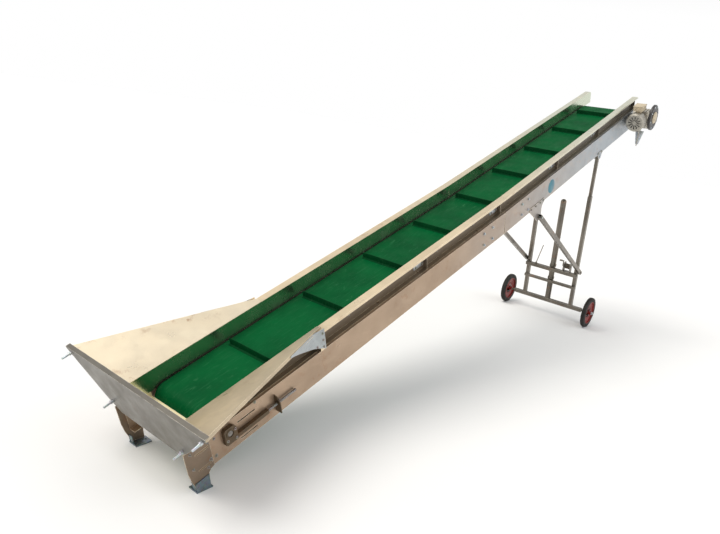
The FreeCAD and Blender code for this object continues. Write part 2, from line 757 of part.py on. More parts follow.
flare = math.radians(dim["wing_flare"])
lean = math.radians(dim["front_lean"])
wing_top = dim["guard_height"] + dim["wing_width"] * math.sin(flare)
wing_out = dim["trough_width"] / 2 + dim["wing_width"] * math.cos(flare)


def front_at(height):
    """Where the front plate's inner face stands at a height over the belt face."""
    return -3 - (height + dim["tray_drop"]) * math.tan(lean)


def hopper_wing(name, side):
    """Flared sheet from the guard's top edge, with its outer edge folded down."""
    turn = Rotation(Vector(1, 0, 0), side * dim["wing_flare"])
    frame = placed(tail_frame, (0, side * dim["trough_width"] / 2, dim["guard_height"]), turn)
    low, high = front_at(dim["guard_height"]) + 1, front_at(wing_top) + 1
    rear = f"{side} * wing_rear"
    body = padded(f"hopper_wing_{name}", "XY_Plane",
                  [[(low, "0"), ("wing_length", "0"), ("wing_length", rear), (high, f"{side} * wing_width")]],
                  "sheet_gauge", frame)
    add_pad(body, "XY_Plane",
            [[(high, f"{side} * wing_width"), ("wing_length", rear),
              ("wing_length", f"{side} * (wing_rear - 3.2)"),
              (high, f"{side} * (wing_width - 3.2)")]], "wing_fold", reverse=True)
    return body


for name, side in SIDES:
    keep(hopper_wing(name, side))

front_frame = placed(tail_frame, (front_at(-dim["tray_drop"]), 0, -dim["tray_drop"]),
                     Rotation(tilt_up, -dim["front_lean"]))
front_height = (wing_top + dim["tray_drop"]) / math.cos(lean) + 6
front_half = wing_out + 6
front = padded("hopper_front", "YZ_Plane",
               [[("-trough_width / 2 - 12", "8"), ("trough_width / 2 + 12", "8"),
                 ("trough_width / 2 + 104", "68"), (front_half, f"{front_height} - 12"),
                 (front_half, front_height), (-front_half, front_height), (-front_half, f"{front_height} - 12"),
                 ("-trough_width / 2 - 104", "68")]], "sheet_gauge",
               placed(front_frame, (-dim["sheet_gauge"], 0, 0)),
               circles=[(f"{side} * (trough_width / 2 - 120)", "36", "8") for name, side in SIDES])
add_pad(front, "XZ_Plane",
        [[("0", front_height), ("front_flange", front_height),
          ("front_flange", f"{front_height} - sheet_gauge"), ("0", f"{front_height} - sheet_gauge")]],
        f"{front_half}")
front.Tip.Midplane = True
front.Tip.setExpression("Length", None)
front.Tip.Length = 2 * front_half
keep(front)


def hopper_studs():
    """Bolts that stand out of the front plate near its corners, each with a nut."""
    studs = []
    spots = [(side * (dim["trough_width"] / 2 + 70), 66) for name, side in SIDES]
    spots += [(side * (front_half - 34), front_height - 34) for name, side in SIDES]
    for across, up in spots:
        frame = placed(front_frame, (-dim["sheet_gauge"], across, up), Rotation(tilt_up, -90))
        studs.append(fused("stud", rod("6", "58", frame), hexagon("11", "10", frame),
                           rod("12", "3", placed(frame, (0, 0, 10)))))
    return studs


keep(group("hopper_studs", hopper_studs()))


# ---------------------------------------------------------------- drive
drive_spot = placed(head_frame, (dim["head_drum_at"], 0, -drum_drop))
gear_inner = -(panel_face + 42)
half_box = "gearbox_size / 2"
chamfer = "(gearbox_size / 2 - 26)"
cover_spot = placed(drive_spot, (dim["cover_ahead"], 0, dim["cover_above"]))
keep(padded("gearbox", "XZ_Plane",
            [[(f"-({half_box})", f"-({chamfer})"), (f"-({chamfer})", f"-({half_box})"),
              (chamfer, f"-({half_box})"),
              (f"{half_box} + cover_ahead", f"-({chamfer}) + cover_above"),
              (f"{half_box} + cover_ahead", f"{chamfer} + cover_above"),
              (f"{chamfer} + cover_ahead", f"{half_box} + cover_above"),
              (f"-({chamfer}) + cover_ahead / 2", f"{half_box} + cover_above"),
              (f"-({half_box})", chamfer)]], "gearbox_depth",
            placed(drive_spot, (0, gear_inner, 0)),
            circles=[("0", "0", "2 * (shaft_radius + shaft_clearance)")]))
cover_face = gear_inner - dim["gearbox_depth"]
keep(turned("gearbox_cover", [
    ("0", "0"), ("0", "cover_radius - 8"), ("6", "cover_radius"), ("24", "cover_radius"),
    ("30", "cover_radius - 8"), ("30", "62"), ("44", "56"), ("44", "0"),
], placed(cover_spot, (0, cover_face, 0), Rotation(Vector(0, 0, 1), -90))))

motor_axis = placed(drive_spot,
                    (-dim["gearbox_size"] / 2, -dim["motor_across"], drum_drop - dim["motor_drop"]),
                    Rotation(Vector(0, 1, 0), 180))
keep(turned("motor_housing", [
    ("0", "motor_shaft_radius + shaft_clearance"), ("0", "motor_radius - 14"), ("10", "motor_radius - 14"),
    ("10", "motor_radius"), ("10 + motor_length", "motor_radius"),
    ("22 + motor_length", "motor_radius - 22"), ("22 + motor_length", "motor_shaft_radius + shaft_clearance"),
    ("12 + motor_length", "motor_shaft_radius + shaft_clearance"), ("12 + motor_length", "motor_radius - 30"),
    ("12", "motor_radius - 30"), ("12", "motor_shaft_radius + shaft_clearance"),
], motor_axis))
keep(turned("motor_rotor", [
    ("1", "0"), ("1", "motor_shaft_radius"), ("20", "motor_shaft_radius"), ("20", "motor_radius - 34"),
    ("motor_length", "motor_radius - 34"), ("motor_length", "motor_shaft_radius"),
    ("30 + motor_length", "motor_shaft_radius"), ("30 + motor_length", "motor_radius - 20"),
    ("48 + motor_length", "motor_radius - 20"), ("48 + motor_length", "motor_shaft_radius"),
    ("54 + motor_length", "motor_shaft_radius"), ("54 + motor_length", "0"),
], motor_axis))


def fan_cowl():
    """Cup over the fan, its end open through a ring of slots."""
    start = "motor_length + 10"
    body = turned("fan_cowl", [
        (f"{start} - 14", "motor_radius + 0.3"), (f"{start} - 14", "cowl_radius"),
        (f"{start} + cowl_length - 10", "cowl_radius"), (f"{start} + cowl_length", "cowl_radius - 12"),
        (f"{start} + cowl_length", "0"), (f"{start} + cowl_length - 2", "0"),
        (f"{start} + cowl_length - 2", "cowl_radius - 14"),
        (f"{start} + cowl_length - 12", "cowl_radius - 3"),
        (start, "cowl_radius - 3"), (start, "motor_radius + 0.3"),
    ], motor_axis)
    doc.recompute()
    solid = body.Shape.Volume
    sketch = outline_sketch(body, "YZ_Plane", [[("-5", "22"), ("5", "22"), ("7", "cowl_radius - 30"),
                                                ("-7", "cowl_radius - 30")]])
    slot = body.newObject("PartDesign::Pocket", "Slot")
    slot.Profile = sketch
    slot.Type = "ThroughAll"
    doc.recompute()
    if abs(body.Shape.Volume - solid) < 1:
        slot.Reversed = True
        doc.recompute()
    ring = body.newObject("PartDesign::PolarPattern", "SlotRing")
    ring.Originals = [slot]
    ring.Axis = ([origin for origin in body.Origin.OriginFeatures if origin.Role == "X_Axis"][0], [""])
    ring.Angle = 360
    ring.Occurrences = 12
    body.Tip = ring
    return body


keep(fan_cowl())

terminal_frame = placed(drive_spot, (-dim["gearbox_size"] / 2 - 48, -dim["motor_across"] - 50,
                                     drum_drop - dim["motor_drop"] + dim["motor_radius"]))
keep(fused("terminal_box",
           box("64", "60", "24", placed(terminal_frame, (0, 20, 0))),
           box("118", "100", "46", placed(terminal_frame, (-20, 0, 24))),
           box("126", "108", "8", placed(terminal_frame, (-24, -4, 70))),
           rod("11", "18", placed(terminal_frame, (-20, 50, 46), Rotation(tilt_up, -90)))))

steepness = math.radians(dim["incline_angle"] + dim["joint_angle"])


def hanging(across, down):
    """A place plumb below the head drum's axis, in the head section's x and z."""
    return (across * math.cos(steepness) - down * math.sin(steepness),
            -across * math.sin(steepness) - down * math.cos(steepness))


keep(padded("torque_arm", "XZ_Plane",
            [[(f"-({chamfer})", f"-({half_box})"), (chamfer, f"-({half_box})"), hanging(48, 150),
              hanging(36, 270), hanging(32, 290), hanging(22, 290), hanging(18, 270), hanging(4, 150)]], "8",
            placed(drive_spot, (0, gear_inner - dim["gearbox_depth"] / 2, 0)),
            circles=[(*hanging(27, 276), "7")]))

# ---------------------------------------------------------------- stand brackets
brackets = []
for name, side in SIDES:
    outer = side * panel_face + (dim["bracket_gauge"] if side > 0 else 0)
    pivot = "leg_pivot_at"
    brackets.append(padded("leg_bracket_outer", "XZ_Plane",
                           [[(f"{pivot} - 58", "-panel_drop + 24"), (f"{pivot} - 58", "-panel_drop - 2"),
                             (f"{pivot} - 20", "-leg_pivot_drop - 24"),
                            (f"{pivot} + 20", "-leg_pivot_drop - 24"),
                             (f"{pivot} + 58", "-panel_drop - 2"), (f"{pivot} + 58", "-panel_drop + 24")]],
                           "bracket_gauge", placed(head_frame, (0, outer, 0)),
                           circles=[(pivot, "-leg_pivot_drop", "2 * pin_radius")]))
    inside = side * (dim["leg_across"] - dim["inner_leg"] / 2 - 2)
    inner = inside + (0 if side > 0 else dim["bracket_gauge"])
    brackets.append(padded("leg_bracket_inner", "XZ_Plane",
                           [[(f"{pivot} - 60", "-panel_drop"), (f"{pivot} - 26", "-leg_pivot_drop - 26"),
                             (f"{pivot} + 26", "-leg_pivot_drop - 26"), (f"{pivot} + 60", "-panel_drop")]],
                           "bracket_gauge", placed(head_frame, (0, inner, 0)),
                           circles=[(pivot, "-leg_pivot_drop", "2 * pin_radius")]))
    pivot = "brace_pivot_at"
    brackets.append(padded("brace_gusset", "XZ_Plane",
                           [[(f"{pivot} - 200", "-panel_drop + 34"), (f"{pivot} - 200", "-panel_drop - 2"),
                             (f"{pivot} - 70", "-brace_pivot_drop + 6"),
                            (f"{pivot} - 34", "-brace_pivot_drop - 32"),
                             (f"{pivot} + 28", "-brace_pivot_drop - 32"),
                            (f"{pivot} + 40", "-brace_pivot_drop + 8"),
                             (f"{pivot} + 44", "-panel_drop - 58"), (f"{pivot} + 52", "-panel_drop - 36"),
                             (f"{pivot} + 68", "-panel_drop - 16"), (f"{pivot} + 94", "-panel_drop - 2"),
                             (f"{pivot} + 94", "-panel_drop + 34")]],
                           "bracket_gauge", placed(head_frame, (0, outer, 0)),
                           circles=[(pivot, "-brace_pivot_drop", "2 * pin_radius")]))
keep(group("stand_brackets", brackets))


def pivot_pins():
    """Bolts through the leg brackets and the brace gussets."""
    pins = []
    for name, side in SIDES:
        start = side * (dim["leg_across"] - dim["inner_leg"] / 2 - 2 - dim["bracket_gauge"])
        spot = placed(head_frame, (dim["leg_pivot_at"], start, -dim["leg_pivot_drop"]), outward(side))
        reach = ("(trough_width / 2 + guard_flange + bracket_gauge)"
                 " - (leg_across - inner_leg / 2 - 2 - bracket_gauge)")
        end = placed(head_frame, (dim["leg_pivot_at"], side * (panel_face + dim["bracket_gauge"]),
                                  -dim["leg_pivot_drop"]), outward(side))
        pins.append(fused("leg_pin", rod("pin_radius", reach, spot), hexagon("11", "8", end)))
        start = side * panel_face
        spot = placed(head_frame, (dim["brace_pivot_at"], start, -dim["brace_pivot_drop"]), outward(side))
        end = placed(spot, (0, 0, dim["bracket_gauge"] + 2 * dim["brace_gap"] + dim["brace_tube"]))
        pins.append(fused("brace_pin", rod("pin_radius", "bracket_gauge + 2 * brace_gap + brace_tube", spot),
                          hexagon("11", "8", end)))
    return pins


keep(group("pivot_pins", pivot_pins()))

# ---------------------------------------------------------------- braces and legs
brace_length = brace_line.Length
brace_across = panel_face + dim["bracket_gauge"] + dim["brace_gap"]
for name, side in SIDES:
    middle = side * (brace_across + dim["brace_tube"] / 2)
    bar = padded(f"brace_{name}_tube", "YZ_Plane",
                 [[(f"-brace_tube / 2 + {gap}", f"{gap} - 20"), (f"brace_tube / 2 - {gap}", f"{gap} - 20"),
                   (f"brace_tube / 2 - {gap}", f"20 - {gap}"), (f"-brace_tube / 2 + {gap}", f"20 - {gap}")]
                  for gap in ("0", "tube_wall")], brace_length + 48, placed(brace_frame, (-24, middle, 0)))
    bore = rod("pin_radius + 0.05", "brace_tube + 4",
               placed(brace_frame, (0, middle - dim["brace_tube"] / 2 - 2, 0), OUT_FAR))
    bolt_at = placed(brace_frame, (brace_length, side * (brace_across + dim["brace_tube"]), 0), outward(side))
    keep(fused(f"brace_{name}", cut(f"brace_{name}_bored", bar, bore), hexagon("11", "8", bolt_at)))

for name, side in SIDES:
    across = side * dim["leg_across"]
    bar = padded(f"inner_leg_{name}_tube", "XY_Plane",
                 [[(f"-({half})", f"-({half})"), (half, f"-({half})"), (half, half), (f"-({half})", half)]
                  for half in ("inner_leg / 2", "inner_leg / 2 - tube_wall")],
                 "inner_leg_length", placed(leg_frame, (0, across, leg_reach + 18 - dim["inner_leg_length"])))
    hole = rod("pin_radius + 0.05", "inner_leg + 4",
               placed(leg_frame, (0, across - dim["inner_leg"] / 2 - 2, leg_reach), OUT_FAR))
    keep(cut(f"inner_leg_{name}", bar, hole))
    keep(padded(f"outer_leg_{name}", "XY_Plane",
                [[("-outer_leg / 2", "-outer_leg / 2"), ("outer_leg / 2", "-outer_leg / 2"),
                  ("outer_leg / 2", "outer_leg / 2"), ("-outer_leg / 2", "outer_leg / 2")],
                 [("leg_wall - outer_leg / 2", "leg_wall - outer_leg / 2"),
                  ("outer_leg / 2 - leg_wall", "leg_wall - outer_leg / 2"),
                  ("outer_leg / 2 - leg_wall", "outer_leg / 2 - leg_wall"),
                  ("leg_wall - outer_leg / 2", "outer_leg / 2 - leg_wall")]],
                "outer_leg_length - outer_leg / 2", placed(leg_frame, (0, across, dim["outer_leg"] / 2))))

# ---------------------------------------------------------------- ladder, axle and mast
bar_length = "2 * leg_across + outer_leg"
leg_face = -dim["outer_leg"] / 2
keep(tube("ladder_bar_upper", "outer_leg", "tube_wall", bar_length,
          placed(leg_frame, (leg_face - dim["outer_leg"] / 2, 0, dim["upper_bar_at"]))))
keep(tube("ladder_bar_lower", "lower_bar", "tube_wall", bar_length,
          placed(leg_frame, (leg_face - dim["lower_bar"] / 2, 0, dim["lower_bar_at"]))))

axle_half = dim["wheel_track"] / 2 - 79
axle_pieces = [tube("axle_tube", "outer_leg", "tube_wall", 2 * axle_half - 12, leg_frame)]
for name, side in SIDES:
    cap_at = min(side * axle_half, side * (axle_half - 6))
    axle_pieces.append(box("outer_leg", "6", "outer_leg",
                           placed(leg_frame, (-dim["outer_leg"] / 2, cap_at, -dim["outer_leg"] / 2))))
    axle_pieces.append(rod("stub_radius", "130", placed(leg_frame, (0, side * axle_half, 0), outward(side))))
keep(fused("axle", *axle_pieces))

mast = turned("mast", [("outer_leg / 2", "mast_radius - tube_wall"), ("outer_leg / 2", "mast_radius"),
                       ("mast_length", "mast_radius"), ("mast_length", "0"),
                       ("mast_length - mast_radius - 4", "0"),
                       ("mast_length - mast_radius - 4", "mast_radius - tube_wall")],
              placed(leg_frame, (leg_face + dim["mast_radius"], 0, 0), UP_FROM_X))


def mast_top(edge):
    return isinstance(edge.Curve, Part.Circle) and abs(edge.Curve.Center.x - dim["mast_length"]) < 0.01


round_edges(mast, "mast_radius - 1", mast_top)
keep(mast)


def mast_clamps():
    """Bands round the mast, one just above each bar."""
    bands = []
    for top in (dim["upper_bar_at"] + dim["outer_leg"] / 2, dim["lower_bar_at"] + dim["lower_bar"] / 2):
        frame = placed(leg_frame, (leg_face + dim["mast_radius"], 0, top + 1), UP_FROM_X)
        bands.append(turned("band", [("0", "mast_radius + 0.2"), ("0", "mast_radius + 6"),
                                     ("26", "mast_radius + 6"), ("26", "mast_radius + 0.2")], frame))
    return bands


keep(group("mast_clamps", mast_clamps()))

# ---------------------------------------------------------------- hand winch and lever
bar_top = dim["upper_bar_at"] + dim["outer_leg"] / 2
winch_frame_at = placed(leg_frame, (leg_face - dim["outer_leg"] / 2, -190, bar_top))
winch_height, winch_half = 70, 38
cheek = [("-34", "0"), ("34", "0"), ("34", "60"), ("18", "104"), ("-18", "104"), ("-34", "60")]
cheeks = [padded("cheek", "XZ_Plane", [cheek], "4", placed(winch_frame_at, (0, across, 0)),
                 circles=[("0", f"{winch_height}", "16.1")]) for across in (-winch_half, winch_half + 4)]
base = box("68", f"{2 * winch_half}", "5", placed(winch_frame_at, (-34, -winch_half, 0)))
keep(fused("winch_frame", base, *cheeks))
keep(turned("winch_drum", [
    (f"-{winch_half} - 9", "0"), (f"-{winch_half} - 9", "8"), (f"-{winch_half} + 1", "8"),
    (f"-{winch_half} + 1", "36"), (f"-{winch_half} + 4", "36"), (f"-{winch_half} + 4", "22"),
    (f"{winch_half} - 10", "22"), (f"{winch_half} - 10", "44"), (f"{winch_half} - 1", "44"),
    (f"{winch_half} - 1", "8"), (f"{winch_half} + 12", "8"), (f"{winch_half} + 12", "0"),
], placed(winch_frame_at, (0, 0, winch_height), ALONG_Y)))
crank_at = placed(winch_frame_at, (0, winch_half + 12, winch_height))
keep(fused("winch_crank",
           box("14", "8", "66", placed(crank_at, (-7, 0, -7))),
           rod("11", "8", placed(crank_at, (0, 0, 0), OUT_FAR)),
           rod("5", "44", placed(crank_at, (0, 4, 50), OUT_FAR)),
           rod("10", "34", placed(crank_at, (0, 16, 50), OUT_FAR))))

lever_at = placed(leg_frame, (leg_face - dim["outer_leg"] / 2, 190, bar_top))
keep(fused("lock_lever", box("24", "16", "16", placed(lever_at, (-12, -8, 0))),
           rod("5", "lever_length", placed(lever_at, (0, 0, 8), Rotation(tilt_up, 38)))))


# ---------------------------------------------------------------- wheels
for name, side in SIDES:
    spot = placed(leg_frame, (0, side * dim["wheel_track"] / 2, 0), ALONG_Y)
    rim = "wheel_radius - tyre_depth"
    tyre = turned(f"tyre_{name}", [
        ("-tyre_width / 2", rim), ("-tyre_width / 2", "wheel_radius - 8"),
        ("8 - tyre_width / 2", "wheel_radius"),
        ("tyre_width / 2 - 8", "wheel_radius"), ("tyre_width / 2", "wheel_radius - 8"),
        ("tyre_width / 2", rim),
    ], spot)
    keep(tyre)
    bore = "stub_radius + shaft_clearance"
    keep(turned(f"wheel_disc_{name}", [
        ("-39", bore), ("-39", "21"), ("-3", "21"), ("-3", "70"), ("-9", "90"), ("-9", f"{rim} - 8"),
        ("-tyre_width / 2", f"{rim} - 5"), ("-tyre_width / 2", rim), ("tyre_width / 2", rim),
        ("tyre_width / 2", f"{rim} - 5"), ("-3", f"{rim} - 8"), ("-3", "90"), ("3", "70"), ("3", "21"),
        ("39", "21"), ("39", bore),
    ], spot))


def axle_nuts():
    nuts = []
    for name, side in SIDES:
        spot = placed(leg_frame, (0, side * (dim["wheel_track"] / 2 + 39.3), 0), outward(side))
        body = fused("nut_body", rod("19", "3", spot), hexagon("17", "13", placed(spot, (0, 0, 2))))
        nuts.append(cut("axle_nut", body, rod("stub_radius", "11.7", spot)))
    return nuts


keep(group("axle_nuts", axle_nuts()))

# ---------------------------------------------------------------- checks and export
doc.recompute()
for item in doc.Objects:
    if "Invalid" in item.State or "Error" in item.State:
        raise RuntimeError(f"{item.Label} did not compute: {item.State}")
os.makedirs("parts", exist_ok=True)
for node in nodes:
    shape = node.Shape
    if shape.isNull() or not shape.isValid():
        raise RuntimeError(f"{node.Label} has no valid shape")
    shape.exportStep(f"parts/{node.Label}.step")
print(len(nodes), "nodes written")
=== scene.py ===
"""Looks for the inclined belt conveyor: materials, fine detail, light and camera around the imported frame."""

import json
import math
import random

import bmesh
import bpy
from mathutils import Matrix, Vector


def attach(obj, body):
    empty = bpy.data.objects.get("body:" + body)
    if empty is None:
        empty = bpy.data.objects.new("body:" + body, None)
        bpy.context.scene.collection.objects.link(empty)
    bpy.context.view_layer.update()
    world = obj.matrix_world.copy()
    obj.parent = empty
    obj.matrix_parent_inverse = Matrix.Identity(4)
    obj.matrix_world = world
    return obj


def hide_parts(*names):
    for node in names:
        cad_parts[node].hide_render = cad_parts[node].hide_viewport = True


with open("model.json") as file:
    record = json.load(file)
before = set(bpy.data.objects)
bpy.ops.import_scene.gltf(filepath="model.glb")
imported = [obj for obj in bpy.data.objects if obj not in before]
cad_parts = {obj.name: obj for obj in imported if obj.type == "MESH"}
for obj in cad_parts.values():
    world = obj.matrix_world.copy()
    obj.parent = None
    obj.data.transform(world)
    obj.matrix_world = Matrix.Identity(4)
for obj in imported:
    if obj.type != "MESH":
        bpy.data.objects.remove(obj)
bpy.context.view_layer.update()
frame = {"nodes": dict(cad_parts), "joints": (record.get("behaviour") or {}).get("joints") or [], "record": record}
nodes = frame["nodes"]
joints = {joint["name"]: joint for joint in frame["joints"]}
RANDOM = random.Random(7)
NEAR, FAR = -1, 1
SIDES = (("near", NEAR), ("far", FAR))

# ---------------------------------------------------------------- section frames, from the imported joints
ALONG_FLOOR = Vector((1, 0, 0))
SIDE = Vector((0, 1, 0))
HEAD_X = Vector(joints["rotor_spin"]["axis"]).normalized()
TAIL_X = Vector(joints["take_up_slide"]["axis"]).normalized()
LEG_DOWN = Vector(joints["leg_slide"]["axis"]).normalized()
SLOPE = -math.atan2(TAIL_X.z, TAIL_X.x)
BELT_DROP = 0.0803          # belt face to the drums' axes
TAIL_DRUM_AT = 0.264        # each drum's axis, along its own section
HEAD_DRUM_AT = 2.944
TROUGH_HALF = 0.250         # from the middle to the guards' inner faces
GUARD_WEB = 0.2532          # from the middle to the guards' walls, seen from outside
PANEL_FACE = 0.308          # from the middle to the side panels' outer faces
GUARD_TOP = 0.112           # above the belt face


def basis(x_axis, origin):
    """A frame with x along the belt, y to the far side and z square to the belt."""
    z_axis = x_axis.cross(SIDE).normalized()
    return Matrix((
        (x_axis.x, 0, z_axis.x, origin.x),
        (x_axis.y, 1, z_axis.y, origin.y),
        (x_axis.z, 0, z_axis.z, origin.z),
        (0, 0, 0, 1)))


def section(x_axis, drum, drum_at):
    """A section's own frame, with z = 0 on the belt's face, found from its drum's axis."""
    place = basis(x_axis, Vector((0, 0, 0)))
    return basis(x_axis, Vector(drum) - place.to_3x3() @ Vector((drum_at, 0, -BELT_DROP)))


TAIL = section(TAIL_X, joints["tail_drum_spin"]["pos_m"], TAIL_DRUM_AT)
HEAD = section(HEAD_X, joints["head_drum_spin"]["pos_m"], HEAD_DRUM_AT)
WHEEL_AT = [Vector(joints[f"wheel_{label}_spin"]["pos_m"]) for label, side in SIDES]
LEG = basis(SIDE.cross(-LEG_DOWN), sum(WHEEL_AT, Vector()) / len(WHEEL_AT))
MOTOR = basis(-HEAD_X, Vector(joints["rotor_spin"]["pos_m"]))


def at(place, x=0.0, y=0.0, z=0.0, turn=None):
    """A frame at a point of another frame, with an optional turn (angle in degrees, axis)."""
    here = place @ Matrix.Translation((x, y, z))
    if turn:
        here = here @ Matrix.Rotation(math.radians(turn[0]), 4, turn[1])
    return here


def facing(place, x, y, z, side):
    """A frame whose z points outward from the near (-1) or far (1) side."""
    return at(place, x, y, z, (-90 * side, "X"))


def axle(joint):
    """A frame on a joint that turns across the conveyor, with z along the joint's axis."""
    return facing(basis(ALONG_FLOOR, Vector(joints[joint]["pos_m"])), 0, 0, 0, FAR)


def on_circle(place, count, radius, height=0.0, start=0.0):
    """Frames spaced evenly round a frame's z axis, each with x pointing outward."""
    turns = [start + 2 * math.pi * k / count for k in range(count)]
    return [at(place @ Matrix.Rotation(turn, 4, "Z"), radius, 0, height) for turn in turns]


def four_corners(x, y):
    """Steps from the middle of a rectangle to its corners."""
    return [(a, b) for a in (-x, x) for b in (-y, y)]


# ---------------------------------------------------------------- materials
def linear(level):
    """A display level from 0 to 255 as linear light."""
    share = level / 255
    return share / 12.92 if level < 10 else ((share + 0.055) / 1.055) ** 2.4


def srgb(red, green, blue):
    return linear(red), linear(green), linear(blue)


def scaled(colour, factor):
    return tuple(min(1.0, channel * factor) for channel in colour)


class Shader:
    """A material's node tree, with short calls for the nodes these materials use."""

    def __init__(self, name):
        self.material = bpy.data.materials.new(name)
        self.material.use_nodes = True
        self.tree = self.material.node_tree
        self.main = self.tree.nodes["Principled BSDF"]
        self.place = self.tree.nodes.new("ShaderNodeTexCoord").outputs["Object"]

    def new(self, kind, **inputs):
        node = self.tree.nodes.new("ShaderNode" + kind)
        for key, value in inputs.items():
            self.put(node.inputs[key.replace("_", " ")], value)
        return node

    def put(self, socket, value):
        if isinstance(value, bpy.types.NodeSocket):
            self.tree.links.new(value, socket)
        elif isinstance(value, (tuple, list)) and socket.type == "RGBA" and len(value) == 3:
            socket.default_value = (*value, 1)
        else:
            socket.default_value = value

    def mapped(self, stretch=(1, 1, 1), turn=0.0):
        node = self.new("Mapping", Vector=self.place)
        node.inputs["Rotation"].default_value = (0, turn, 0)
        node.inputs["Scale"].default_value = stretch
        return node.outputs["Vector"]

    def noise(self, scale, detail=4.0, place=None, rough=0.55):
        return self.new("TexNoise", Vector=place or self.place, Scale=scale, Detail=detail,
                        Roughness=rough).outputs["Fac"]

    def ramp(self, value, low, high, start=0.0, end=1.0):
        """A value brought from one range to another, and held at its ends."""
        node = self.new("MapRange", Value=value)
        for key, number in (("From Min", low), ("From Max", high), ("To Min", start), ("To Max", end)):
            self.put(node.inputs[key], number)
        return node.outputs["Result"]

    def below(self, value, limit, blur=0.0006):
        """1 under the limit and 0 over it."""
        return self.ramp(value, limit, limit - blur)

    def beyond(self, value, limit, blur=0.0006):
        """1 over the limit and 0 under it."""
        return self.ramp(value, limit, limit + blur)

    def mix(self, amount, first, second, blend="MIX"):
        node = self.tree.nodes.new("ShaderNodeMix")
        node.data_type = "RGBA"
        node.blend_type = blend
        self.put(node.inputs["Factor"], amount)
        self.put(node.inputs[6], first)
        self.put(node.inputs[7], second)
        return node.outputs[2]

    def math(self, operation, first, second=0.0):
        node = self.tree.nodes.new("ShaderNodeMath")
        node.operation = operation
        self.put(node.inputs[0], first)
        self.put(node.inputs[1], second)
        return node.outputs[0]

    def bump(self, height, strength, distance):
        node = self.new("Bump", Height=height, Strength=strength, Distance=distance)
        self.put(self.main.inputs["Normal"], node.outputs["Normal"])

    def dot(self, first, second):
        node = self.tree.nodes.new("ShaderNodeVectorMath")
        node.operation = "DOT_PRODUCT"
        self.put(node.inputs[0], first)
        self.put(node.inputs[1], second)
        return node.outputs["Value"]

    def edges(self, radius=0.003):
        """How near a sharp edge a point is, from 0 to 1."""
        bevel = self.new("Bevel", Radius=radius)
        bevel.samples = 4
        normal = self.new("NewGeometry").outputs["Normal"]
        return self.ramp(self.dot(bevel.outputs["Normal"], normal), 1.0, 0.9)

    def axis(self, name):
        return self.new("SeparateXYZ", Vector=self.place).outputs[name]

    def above_belt(self):
        """Height square to the belt's face, over whichever section is nearer."""
        heights = []
        for place in (TAIL, HEAD):
            up = place.to_3x3().col[2]
            heights.append(self.math("SUBTRACT", self.dot(self.place, tuple(up)), up.dot(place.translation)))
        return self.math("MINIMUM", *heights)

    def across(self):
        return self.math("ABSOLUTE", self.axis("Y"))

    def both(self, *masks):
        """Where all the masks meet."""
        total = masks[0]
        for mask in masks[1:]:
            total = self.math("MULTIPLY", total, mask)
        return total


BROWN = srgb(150, 100, 62)
SMALL = 5                   # noise this much finer suits small parts


